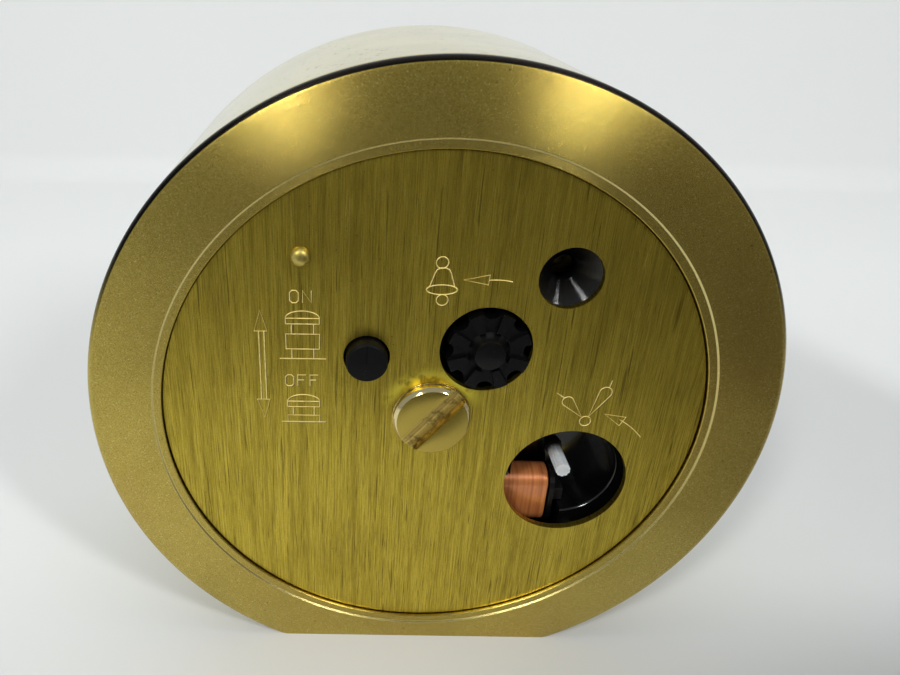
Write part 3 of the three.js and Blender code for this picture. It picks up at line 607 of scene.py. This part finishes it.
def copper_wire():
    """Fine enamelled wire: turns lie across the coil, so the stripes run with the turns."""
    look = Look("copper_wire", Metallic=0.35, Coat_Weight=0.7, Coat_Roughness=0.12)
    turns = (look.x * 62.0).sine()
    stripe = look.line_noise(look.x, 1.1, 3.0)
    layer = look.line_noise(look.x, 4.5, 2.0)
    wander = look.noise(0.55, 3.0)
    colour = look.mix(stripe.between(0.42, 0.62) * 0.6, (0.68, 0.235, 0.070), (0.40, 0.105, 0.030))
    colour = look.mix(layer.between(0.5, 0.66) * 0.25, colour, (0.74, 0.30, 0.11))
    colour = look.mix(wander.between(0.5, 0.7) * 0.3, colour, (0.42, 0.155, 0.06))
    look.bump(turns * 0.05 + layer * 0.2 + wander * 0.4, 0.05, 0.35)
    return look.finish(Base_Color=colour, Roughness=0.28 + stripe * 0.14)


def board_green():
    """Lacquered circuit board with its weave and tracks."""
    look = Look("board_green", Coat_Weight=0.4)
    weave = (look.x * 9.0).sine() * (look.z * 9.0).sine()
    tracks = look.line_noise(look.x, 0.5, 0.0).between(0.52, 0.54)
    colour = look.mix(tracks * 0.7, (0.035, 0.115, 0.045), (0.09, 0.19, 0.06))
    look.bump(weave * 0.3 + tracks, 0.02, 0.3)
    return look.finish(Base_Color=colour, Roughness=0.34 + weave * 0.04)


def dial_paint():
    """Pale painted dial, yellowed towards its edge."""
    look = Look("dial_paint")
    grain = look.noise(5.0, 4.0)
    age = look.radius().between(22.0, 44.0)
    colour = look.mix(grain * 0.6, (0.80, 0.785, 0.72), (0.74, 0.72, 0.65))
    colour = look.mix(age * 0.35, colour, (0.66, 0.61, 0.49))
    look.bump(grain, 0.01, 0.2)
    return look.finish(Base_Color=colour, Roughness=0.48 + grain * 0.1)


def mark_black():
    """Black print and hands."""
    look = Look("mark_black")
    ink = look.noise(3.0, 4.0)
    colour = look.mix(ink, (0.012, 0.012, 0.013), (0.030, 0.029, 0.028))
    look.bump(ink, 0.006, 0.3)
    return look.finish(Base_Color=colour, Roughness=0.38 + ink * 0.15)


def clear_glass():
    """Clear glass with a faint haze."""
    look = Look("clear_glass", Transmission_Weight=1.0, IOR=1.49)
    haze = look.noise(0.4, 3.0)
    look.bump(haze, 0.01, 0.04)
    colour = look.mix(haze * 0.3, (0.99, 0.995, 0.99), (0.97, 0.98, 0.97))
    return look.finish(Base_Color=colour, Roughness=0.01 + haze * 0.02)


def cell_sleeve():
    """Printed sleeve of the battery, with a bare metal end."""
    look = Look("cell_sleeve", Coat_Weight=0.6)
    bare = look.x.between(9.0, 9.2)
    wrap = look.noise(0.9, 4.0)
    colour = look.mix(wrap * 0.6, (0.20, 0.022, 0.026), (0.12, 0.014, 0.018))
    colour = look.mix(bare, colour, (0.50, 0.37, 0.13))
    look.bump(wrap, 0.02, 0.2)
    return look.finish(Base_Color=colour, Roughness=0.26 + wrap * 0.1, Metallic=bare * 0.9)


def line_gold():
    """Raised lines of the stamped marks, painted pale as a highlight on their lit side."""
    look = Look("line_gold", Metallic=0.55)
    wear = look.noise(1.6, 4.0)
    colour = look.mix(wear.between(0.4, 0.7), (0.90, 0.75, 0.28), (0.66, 0.53, 0.17))
    look.bump(wear, 0.01, 0.3)
    return look.finish(Base_Color=colour, Roughness=0.5 + wear * 0.15)


def tarnished_line():
    """Painted shadow along the lower right side of the raised lines."""
    look = Look("tarnished_line", Metallic=0.4)
    wear = look.noise(1.6, 4.0)
    colour = look.mix(wear.between(0.35, 0.65), (0.12, 0.085, 0.02), (0.22, 0.16, 0.035))
    look.bump(wear, 0.01, 0.3)
    return look.finish(Base_Color=colour, Roughness=0.6 + wear * 0.15)


def dull_brass():
    """Rivet head, worn dull."""
    look = Look("dull_brass", Metallic=1.0)
    wear = look.noise(1.4, 4.0)
    colour = look.mix(wear.between(0.35, 0.7), (0.62, 0.51, 0.145), (0.40, 0.31, 0.07))
    look.bump(wear, 0.02, 0.4)
    return look.finish(Base_Color=colour, Roughness=0.36 + wear * 0.12)


def core_varnish():
    """Varnished iron of the coil core."""
    look = Look("core_varnish", Specular_IOR_Level=0.3)
    coat = look.noise(1.5, 4.0)
    colour = look.mix(coat, (0.005, 0.005, 0.006), (0.013, 0.012, 0.011))
    look.bump(coat, 0.02, 0.3)
    return look.finish(Base_Color=colour, Roughness=0.4 + coat * 0.2)


def paper(name, tone):
    """Matt sheet, painted paler far beyond the dial as painted light, and painted greyer behind the back
    as painted shade, most of all towards -X.
    """
    look = Look(name)
    grain = look.noise(0.02, 3.0)
    colour = look.mix(grain, tone, tuple(channel * 0.985 for channel in tone))
    # Painted shade: greyer towards +Y behind the clock's back, most of all towards -X.
    painted_front_shade = look.y.between(0.0, 40.0) * (look.x.between(10.0, -80.0) * 0.9 + 0.2)
    colour = look.mix(painted_front_shade, colour, tuple(channel * 0.5 for channel in tone))
    # Painted light: paler far beyond the dial and up the backdrop.
    colour = look.mix(look.y.between(-40.0, -160.0), colour, tuple(channel * 1.10 for channel in tone))
    look.bump(look.noise(0.8, 3.0), 0.03, 0.1)
    return look.finish(Base_Color=colour, Roughness=0.5 + grain * 0.1)


FINISHES = {
    "polished_brass": polished_brass(),
    "satin_brass": satin_brass(),
    "brushed_brass": brushed_brass(),
    "gear_brass": gear_brass(),
    "steel": steel(),
    "black_gloss": black_gloss(),
    "black_matt": black_satin(),
    "nylon": nylon(),
    "copper_wire": copper_wire(),
    "board_green": board_green(),
    "dial_white": dial_paint(),
    "clear_glass": clear_glass(),
    "cell_sleeve": cell_sleeve(),
}
PLUNGER_BLACK = black_satin("plunger_black", 0.40, 0.0024, 0.13)
FUNNEL_BLACK = funnel_black()
MARK_BLACK = mark_black()
LINE_GOLD = line_gold()
PAINTED_SHADOW_LINE = tarnished_line()
SCREW_BRASS = screw_brass()
DULL_BRASS = dull_brass()
CORE_VARNISH = core_varnish()

# Every CAD node starts with its slot's finish; the pieces below replace those that are seen close up.
for subpart in frame["record"]["subparts"]:
    node = frame["nodes"][subpart["node"]]
    node.data.materials.clear()
    node.data.materials.append(FINISHES[subpart["material_slot"]])
frame["nodes"]["coil_core"].data.materials[0] = CORE_VARNISH


# ---------------------------------------------------------------- case

def make_band():
    """Round band with its flat base."""
    band = flatten(rod("band", CENTRE, CASE_R, *BAND, sides=320), -BASE_DROP)
    room = rod("room", CENTRE, CASE_R - WALL, BAND[0] - 1, BAND[1] + 1, sides=320)
    flatten(room, FLAT_WALL - BASE_DROP)
    carve(band, room)
    soften(band, 0.35, 3)
    return fit(band, "case", "polished_brass", FINISHES["polished_brass"], "case_band")


def make_rear_ring():
    """Satin ring with a rounded outer edge, a turned step and a recess for the plate."""
    flange_y = BAND[1] + GAP
    ledge_y = PLATE_IN - GAP
    step_y = BACK_Y - 0.18
    ring = turned("ring", CENTRE, [
        (LEDGE_R, BACK_Y - 3.2), (36.5, BACK_Y - 3.2), (36.5, flange_y), (CASE_R, flange_y),
        (CASE_R, BACK_Y - 0.8), (CASE_R - 0.12, BACK_Y - 0.45), (CASE_R - 0.4, BACK_Y - 0.15),
        (SATIN_R, BACK_Y), (STEP_R + 0.12, BACK_Y), (STEP_R - 0.08, step_y), (RECESS_R + 0.1, step_y),
        (RECESS_R, step_y - 0.1), (RECESS_R, ledge_y), (LEDGE_R, ledge_y),
    ], sides=320)
    flatten(ring, -BASE_DROP)
    smooth(ring, 30)
    return fit(ring, "case", "satin_brass", FINISHES["satin_brass"], "rear_ring")


def make_back_plate():
    """Brushed plate with its six holes."""
    plate = rod("plate", CENTRE, PLATE_R, PLATE_IN, PLATE_Y, sides=240)
    for at, r in PLATE_HOLES:
        carve(plate, rod("drill", at, r, PLATE_IN - 1, PLATE_Y + 1, sides=96))
    soften(plate, 0.11, 2)
    return fit(plate, "back_plate", "brushed_brass", FINISHES["brushed_brass"], "back_plate")


def make_rivet():
    """Rivet with its dull domed head."""
    rivet = turned("rivet", PIN, [
        (0, 15.35), (1.2, 15.35), (1.2, 15.95), (0.6, 15.95), (0.6, 17.22), (1.22, 17.22),
        (1.2, 17.4), (1.08, 17.72), (0.82, 17.95), (0.45, 18.1), (0, 18.15),
    ], sides=48)
    smooth(rivet, 45)
    return fit(rivet, "back_plate", "polished_brass", DULL_BRASS, "plate_rivet")


def make_coin_screw():
    """Wide screw with a bevelled rim and a slot for a coin."""
    seat = PLATE_Y + 0.08
    screw = turned("screw", SCREW, [
        (0, SCREW_TIP), (2.0, SCREW_TIP), (2.0, seat), (5.12, seat), (5.12, 17.5), (4.86, 17.56),
        (4.86, 17.64), (HEAD_R, 17.7), (HEAD_R, HEAD_TOP - 0.47), (HEAD_R - 0.45, HEAD_TOP), (0, HEAD_TOP),
    ], sides=128)
    groove = brick("groove", (-6, 6), (SLOT_FLOOR, HEAD_TOP + 1),
                   (SCREW[1] - SLOT_HALF, SCREW[1] + SLOT_HALF), turn=SLOT_TURN)
    carve(screw, groove)
    soften(screw, 0.06, 2, 25)
    return fit(screw, "coin_screw", "polished_brass", SCREW_BRASS, "coin_screw")


# ---------------------------------------------------------------- controls

def channel_cutter(turn):
    """Wedge-shaped cutter for the sunken sector behind one scallop of the knob."""
    x0, x1 = KNOB_SINK_R - 0.15, KNOB_R + 1.0
    half = x0 * math.tan(math.radians(SCALLOP["half_angle"]))
    cutter = brick("channel", (ALARM[0] + x0, ALARM[0] + x1), (KNOB_FLOOR, KNOB_TOP + 1),
                   (ALARM[1] - half, ALARM[1] + half))
    edit(cutter)
    pick(cutter, "faces", lambda f: f.normal.x > 0.9)
    bpy.ops.transform.resize(value=(1, 1, x1 / x0))
    leave()
    return turn_about(cutter, ALARM, turn)


def make_alarm_knob():
    """Scalloped knob with a raised wedge between each two scallops and a round hub."""
    knob = rod("knob", ALARM, KNOB_R, KNOB_FOOT, KNOB_TOP, sides=128)
    carve(knob, rod("sink", ALARM, KNOB_SINK_R, KNOB_FLOOR, KNOB_TOP + 1))
    for i in range(LOBES):
        turn = i * 360 / LOBES
        bite_at = around(ALARM, SCALLOP["at"], turn)
        bite = rod("bite", bite_at, SCALLOP["r"], KNOB_FOOT - 0.6, KNOB_TOP + 1, sides=40)
        carve(knob, bite, channel_cutter(turn))
    weld(knob, turned("hub", ALARM, [
        (0, KNOB_FLOOR - 1), (2.6, KNOB_FLOOR - 1), (2.6, KNOB_FLOOR + 0.05), (2.3, KNOB_FLOOR + 0.35),
        (2.0, KNOB_FLOOR + 0.9), (HUB_R, HUB_TOP), (0, HUB_TOP),
    ], sides=24))
    soften(knob, 0.09, 2, 28)
    return fit(knob, "alarm_knob", "black_matt", FINISHES["black_matt"], "alarm_set_knob")


def make_plunger():
    """Stop plunger with a moulding seam over the upper half of its end."""
    foot, collar_r = 8.6, 3.4
    plunger = turned("plunger", STOP, [
        (0, foot), (collar_r, foot), (collar_r, foot + 1), (STOP_R, foot + 1), (STOP_R, STOP_TOP - 0.27),
        (STOP_R - 0.22, STOP_TOP), (0, STOP_TOP),
    ], sides=72)
    seam = brick("seam", (STOP[0] - 0.06, STOP[0] + 0.06), (STOP_TOP - 0.09, STOP_TOP + 0.85),
                 (STOP[1], STOP[1] + 3))
    carve(plunger, seam)
    soften(plunger, 0.07, 2)
    return fit(plunger, "stop_plunger", "black_matt", PLUNGER_BLACK, "stop_plunger")


def make_setting_stub():
    """Splined end of the hand-setting spindle."""
    root, tip = 8.9, 14.75
    splines, spline_at, spline_r = 10, 1.08, 0.2
    stub = rod("setting_stub", SETTING, 1.0, root, tip, sides=60)
    for i in range(splines):
        groove_at = around(SETTING, spline_at, i * 360 / splines)
        carve(stub, rod("spline", groove_at, spline_r, root + 0.7, tip + 1.25, sides=16))
    soften(stub, 0.05, 2)
    return fit(stub, "set_spindle", "nylon", FINISHES["nylon"])


# ---------------------------------------------------------------- what the holes show

def make_well():
    """Round wall of the setting well, open where the coil lies."""
    well = turned("setting_well", SETTING, [
        (0, 8.02), (7.5, 8.02), (7.5, 14.35), (7.32, 14.62), (7.14, 14.35), (7.1, 8.35), (0, 8.35),
    ], sides=128)
    carve(well, brick("coil_room", (-19.9, 3), (8.45, 16), (-20.5, -10.4)))
    carve(well, rod("foot", SETTING, 1.3, 7, 9, sides=48))
    soften(well, 0.08, 2)
    return fit(well, "case", "black_gloss", FINISHES["black_gloss"])


def make_funnel():
    """Liner of the funnel that leads to the trimmer."""
    funnel = turned("trimmer_funnel", TRIM, [
        (1.82, 9.0), (1.82, 13.36), (4.36, 15.6), (4.36, 15.75), (4.1, 15.8), (1.6, 13.55), (1.5, 13.3),
        (1.5, 9.0),
    ], sides=96)
    smooth(funnel, 30)
    return fit(funnel, "case", "black_gloss", FUNNEL_BLACK)


def make_winding():
    """Coil winding with a rounded section."""
    coil = brick("winding", COIL["x"], COIL["y"], COIL["z"])
    edit(coil)
    pick(coil, "edges", lambda e: abs((e.verts[0].co - e.verts[1].co).normalized().x) > 0.9)
    bpy.ops.mesh.bevel(offset=COIL["corner"] * MM, segments=10, affect="EDGES")
    pick(coil, "faces", lambda f: abs(f.normal.x) > 0.9)
    bpy.ops.mesh.inset(thickness=0.35 * MM)
    leave()
    soften(coil, 0.3, 4, 50)
    return fit(coil, "case", "copper_wire", FINISHES["copper_wire"], "coil_winding")


# ---------------------------------------------------------------- raised lines on the back plate

BUTTON_U = -16.52         # middle of the two button symbols
WORD_U = -16.7            # middle of the two words


def across(u, v):
    """A point on the plate from places measured as seen from behind."""
    return (-u, v)


def arc(centre, r, start, end, steps=16):
    """Points on an arc, with angles in degrees as seen from behind."""
    return [around(centre, r, start + (end - start) * i / steps) for i in range(steps + 1)]


def ring_of(centre, r):
    """Stroke that is a whole circle."""
    return (arc(centre, r, 0, 360, 20)[:-1], True)


def draw(name, paths, half, shift, level):
    """Thin rods along paths seen from behind, moved by a shift and laid at a level."""
    curve = bpy.data.curves.new(name, "CURVE")
    curve.dimensions = "3D"
    curve.bevel_depth = half * MM
    curve.bevel_resolution = 1
    curve.use_fill_caps = True
    for path, closed in paths:
        spline = curve.splines.new("POLY")
        spline.points.add(len(path) - 1)
        for point, (u, v) in zip(spline.points, path):
            x, z = across(u + shift[0], v + shift[1])
            point.co = (*place(x, level, z), 1.0)
        spline.use_cyclic_u = closed
    obj = bpy.data.objects.new(name, curve)
    bpy.context.collection.objects.link(obj)
    only(obj)
    bpy.ops.object.convert(target="MESH")
    return smooth(bpy.context.object, 60)


def make_lines(name, paths):
    """A stamped mark: a raised line painted pale as its lit side, with a painted shadow along its lower
    right side.
    """
    fit(draw(name, paths, LINE, (0, 0), LINE_Y), "back_plate", "polished_brass", LINE_GOLD)
    # Painted shadow: a dark copy of each mark, shifted to its lower right.
    painted_shadow = draw(f"{name}_tarnish", paths, PAINTED_SHADOW_HALF, PAINTED_SHADOW_SHIFT, PAINTED_SHADOW_Y)
    fit(painted_shadow, "back_plate", "polished_brass", PAINTED_SHADOW_LINE)


def letter(kind, u, v, w=1.05, h=1.6):
    """Strokes of one plain capital, with its lower left corner at u, v."""
    if kind == "O":
        k = 0.3
        ring = [(k, 0), (w - k, 0), (w, k), (w, h - k), (w - k, h), (k, h), (0, h - k), (0, k)]
        return [([(u + a, v + b) for a, b in ring], True)]
    if kind == "N":
        return [([(u, v), (u, v + h), (u + w, v), (u + w, v + h)], False)]
    return [
        ([(u, v), (u, v + h), (u + w, v + h)], False),
        ([(u, v + h * 0.55), (u + w * 0.75, v + h * 0.55)], False),
    ]


def word(text, middle, v):
    """Strokes of a short word around its middle."""
    pitch = 1.55
    start = middle - (len(text) * pitch - 0.5) / 2
    strokes = []
    for i, kind in enumerate(text):
        strokes += letter(kind, start + i * pitch, v)
    return strokes


def button_symbol(top, brim, cap_low, body_top, body_low, base):
    """Side view of the stop button. It stands tall when it is out and low when it is in."""
    middle = BUTTON_U
    cap, neck, foot = 2.07, 1.36, 2.87
    rise = (top - brim) / cap
    dome = [(u, brim + v * rise) for u, v in arc((middle, 0), cap, 0, 180, 18)]
    strokes = [
        ([(middle - cap, cap_low), *reversed(dome), (middle + cap, cap_low)], True),
        ([(middle - cap, brim), (middle + cap, brim)], False),
        ([(middle - cap, body_low), (middle + cap, body_low), (middle + cap, body_top),
          (middle - cap, body_top)], True),
        ([(middle - foot, base), (middle + foot, base)], False),
    ]
    for side in (-neck, neck):
        strokes.append(([(middle + side, cap_low), (middle + side, body_top)], False))
        if body_low > base:
            strokes.append(([(middle + side, body_low), (middle + side, base)], False))
    return strokes


def double_arrow():
    """Arrow that points both ways, beside the words and the buttons."""
    return [
        ([(-21.65, 15.49), (-22.45, 12.68), (-20.85, 12.68)], True),
        ([(-21.59, 0.24), (-22.45, 2.97), (-20.85, 2.97)], True),
        ([(-21.9, 12.68), (-21.9, 2.97)], False),
        ([(-21.25, 12.68), (-21.25, 2.97)], False),
    ]


def bell_symbol():
    """Outline of a bell with its knob and its clapper."""
    middle = 0.08
    side = [(0.3, 21.15), (0.72, 20.95), (0.95, 20.5), (1.2, 19.7), (1.45, 18.9), (1.85, 18.42)]
    left = [(middle - u, v) for u, v in side]
    right = [(middle + u, v) for u, v in side]
    mouth, sag = 18.42, 0.62 / 1.85
    half_round = arc((middle, 0), 1.85, 0, 180, 12)
    lip = [(u, mouth - v * sag) for u, v in half_round]
    brow = [(u, mouth + v * sag) for u, v in half_round]
    return [
        ring_of((-0.1, 21.82), 0.72),
        ([*left, *reversed(lip), *reversed(right)], True),
        (brow, False),
        ring_of((0.2, 17.1), 0.7),
    ]


def turn_arrow(tip, head_low, head_high, sweep):
    """Arrow with a curved tail that shows which way to turn."""
    return [([tip, head_low, head_high], True), (sweep, False)]


def one_hand(pivot, bulb, r, tip):
    """Outline of a pear-shaped hand from its pivot to its tip."""
    aim = math.degrees(math.atan2(bulb[1] - pivot[1], bulb[0] - pivot[0]))
    root = around(pivot, 0.75, aim)
    crown = arc(bulb, r, aim - 100, aim + 100, 14)
    return [([root, *crown], True), ([around(bulb, r, aim), tip], False)]


def make_symbols():
    """The marks stamped in the back plate."""
    knob_back = (6.4, 10.45)
    well_back = (18.85, -9.5)
    hands_pivot = (20.02, 0.3)
    make_lines("symbol_on", word("ON", WORD_U, 16.5))
    make_lines("symbol_off", word("OFF", WORD_U, 5.0))
    make_lines("symbol_button_out", button_symbol(15.43, 14.45, 13.7, 12.34, 10.28, 8.93))
    make_lines("symbol_button_in", button_symbol(3.73, 2.72, 1.9, 0.63, -0.38, -0.38))
    make_lines("symbol_double_arrow", double_arrow())
    make_lines("symbol_bell", bell_symbol())
    make_lines("symbol_alarm_arrow", turn_arrow(
        (2.58, 19.7), (5.5, 19.1), (5.6, 20.35), arc(knob_back, 9.28, 95.5, 78, 10)))
    make_lines("symbol_hands", [
        ring_of(hands_pivot, 0.72),
        *one_hand(hands_pivot, (17.35, 3.2), 0.72, (15.77, 4.46)),
        *one_hand(hands_pivot, (21.95, 4.6), 0.8, (22.47, 6.4)),
    ])
    make_lines("symbol_hands_arrow", turn_arrow(
        (22.35, 1.41), (24.55, -0.35), (25.2, 0.95), arc(well_back, 11.52, 61, 40, 10)))


# ---------------------------------------------------------------- front

def make_bezel():
    """Inset ring that holds the crystal."""
    bezel = turned("bezel_ring", CENTRE, [
        (34.6, -18.0), (35.2, -18.65), (41.7, -18.65), (INNER_R, -18.4), (INNER_R, -14.75),
        (36.2, -14.75), (36.2, -16.95), (34.6, -16.95),
    ], sides=256)
    flatten(bezel, INNER_FLAT)
    soften(bezel, 0.12, 2)
    return fit(bezel, "case", "polished_brass", FINISHES["polished_brass"], "bezel")


def make_crystal():
    """Flat crystal with a bevelled edge."""
    crystal = turned("crystal_disc", CENTRE, [
        (0, -16.65), (35.6, -16.65), (35.9, -16.4), (35.9, -15.15), (0, -15.15),
    ], sides=192)
    smooth(crystal, 30)
    return fit(crystal, "case", "clear_glass", FINISHES["clear_glass"], "crystal")


def make_spacer():
    """Ring between the crystal and the dial."""
    spacer = turned("spacer_ring", CENTRE, [
        (35.0, -14.45), (INNER_R, -14.45), (INNER_R, -10.4), (34.2, -10.4),
    ], sides=192)
    flatten(spacer, INNER_FLAT)
    soften(spacer, 0.15, 2)
    return fit(spacer, "case", "satin_brass", FINISHES["satin_brass"], "dial_spacer")


def make_minute_marks():
    """Sixty marks, longer and wider at the hours."""
    marks = []
    for minute in range(60):
        long = minute % 5 == 0
        half = 0.45 if long else 0.16
        mark = brick("mark", (-half, half), (-10.16, -10.08), (30.0 if long else 31.6, 33.2))
        marks.append(turn_about(mark, CENTRE, minute * 6))
    return fit(join("minute_marks", *marks), "case", "dial_white", MARK_BLACK)


def make_numerals():
    """The numbers one to twelve."""
    numerals = []
    for hour in range(1, 13):
        angle = math.radians(hour * 30)
        bpy.ops.object.select_all(action="DESELECT")
        bpy.ops.object.text_add(rotation=(math.pi / 2, 0, 0))
        text = bpy.context.object
        text.data.body = str(hour)
        text.data.align_x = "CENTER"
        text.data.align_y = "CENTER"
        text.data.size = 6.6 * MM
        text.data.extrude = 0.03 * MM
        text.location = place(25.4 * math.sin(angle), -10.12, 25.4 * math.cos(angle))
        bpy.ops.object.convert(target="MESH")
        numerals.append(settle("numeral"))
    return fit(join("numerals", *numerals), "case", "dial_white", MARK_BLACK)


def finer(node, width, body, finish, look):
    """A copy of a CAD node with its facets merged and its edges rounded."""
    only(frame["nodes"][node])
    bpy.ops.object.duplicate()
    copy = bpy.context.object
    copy.parent = None
    copy.matrix_world = Matrix.Identity(4)
    copy.data = copy.data.copy()
    for key in [key for key in copy.keys() if key.startswith("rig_")]:
        del copy[key]
    copy.name = "fine_" + node
    edit(copy)
    bpy.ops.mesh.select_all(action="SELECT")
    bpy.ops.mesh.remove_doubles(threshold=1e-6)
    bpy.ops.mesh.dissolve_limited(angle_limit=math.radians(1))
    leave()
    soften(copy, width, 2)
    return fit(copy, body, finish, look, node)


def make_front():
    """Bezel, crystal, the print on the dial, and the hands."""
    make_bezel()
    make_crystal()
    make_spacer()
    make_minute_marks()
    make_numerals()
    finer("alarm_hand", 0.06, "alarm_wheel", "gear_brass", FINISHES["gear_brass"])
    finer("hour_hand", 0.08, "hour", "black_matt", MARK_BLACK)
    finer("minute_hand", 0.08, "minute", "black_matt", MARK_BLACK)
    finer("second_hand", 0.05, "second", "polished_brass", FINISHES["polished_brass"])


# ---------------------------------------------------------------- surroundings

DARK_PAPER = paper("dark_paper", (0.14, 0.13, 0.12))
GREY_PAPER = paper("grey_paper", (0.66, 0.62, 0.57))


def make_table():
    """Pale table that turns up into a backdrop behind the clock."""
    table = sheet("table", (0, 0.23, 0), width=2.4, depth=0.96)
    turn_up(table, lambda at: at.y < -0.2, height=1.2, bend=0.012, segments=8)
    smooth(table, 60)
    table.data.materials.append(paper("table_paper", (0.80, 0.81, 0.80)))


def area_light(name, at, aim, size, power, colour=(1, 1, 1)):
    """Rectangular lamp at a place, turned to shine at another one."""
    data = bpy.data.lights.new(name, "AREA")
    data.shape = "RECTANGLE"
    data.size, data.size_y = size
    data.energy = power
    data.color = colour
    light = bpy.data.objects.new(name, data)
    light.location = at
    light.rotation_euler = (Vector(aim) - Vector(at)).to_track_quat("-Z", "Y").to_euler()
    bpy.context.collection.objects.link(light)


def make_lights():
    """Two softboxes behind the clock, a ceiling panel and a dim room."""
    aim = (0, 0.01, 0.05)
    area_light("softbox_left", (0.245, 0.39, 0.40), aim, size=(0.06, 0.14), power=1.25)
    area_light("softbox_right", (-0.31, 0.39, 0.40), aim, size=(0.05, 0.14), power=1.25)
    area_light("ceiling", (0, -0.15, 0.8), (0, -0.05, 0), size=(1.0, 0.6), power=2.25,
               colour=(0.97, 0.99, 1.0))
    world = bpy.data.worlds.new("room")
    world.use_nodes = True
    background = world.node_tree.nodes["Background"]
    background.inputs["Color"].default_value = (0.95, 0.98, 1.0, 1)
    background.inputs["Strength"].default_value = 0.33
    bpy.context.scene.world = world
    bpy.context.scene.view_settings.view_transform = "Standard"


def shade(card, finish):
    """Keep a card out of the direct view and the soft light. Glossy pieces still reflect it."""
    card.data.materials.append(finish)
    card.visible_camera = False
    card.visible_diffuse = False
    return card


def make_shades():
    """Cards that the brass reflects where the room is dim."""
    low_card = sheet("low_card", (-0.07, 0.14, 0.001), width=0.36, depth=0.10)
    turn_up(low_card, lambda at: at.y > 0.18, height=0.14, bend=0.02, segments=6)
    shade(low_card, DARK_PAPER).visible_shadow = False
    right_card = sheet("right_card", (-0.15, 0.06, 0.001), width=0.20, depth=0.06)
    shade(right_card, GREY_PAPER).visible_shadow = False
    upright = (0, math.pi / 2, 0)
    side_card = sheet("side_card", (-0.17, 0.15, 0.10), width=0.2, depth=0.2, rotation=upright)
    shade(side_card, GREY_PAPER)


def make_camera():
    """Camera behind the clock, a little above it and looking down."""
    data = bpy.data.cameras.new("camera")
    data.lens = 30
    data.sensor_width = 36
    data.shift_x = 0.1224
    data.shift_y = 0.0366
    data.clip_start = 0.005
    camera = bpy.data.objects.new("camera", data)
    stand = Matrix.Translation((0.01142, 0.09972, 0.09180))
    heading = Matrix.Rotation(math.pi + 0.0059, 4, "Z")
    tilt = Matrix.Rotation(math.pi / 2 - 0.5049, 4, "X")
    roll = Matrix.Rotation(0.0105, 4, "Z")
    camera.matrix_world = stand @ heading @ tilt @ roll
    bpy.context.collection.objects.link(camera)
    bpy.context.scene.camera = camera


make_camera()
make_table()
make_shades()
make_lights()
make_band()
make_rear_ring()
make_back_plate()
make_rivet()
make_coin_screw()
make_alarm_knob()
make_plunger()
make_setting_stub()
make_well()
make_funnel()
make_winding()
make_symbols()
make_front()
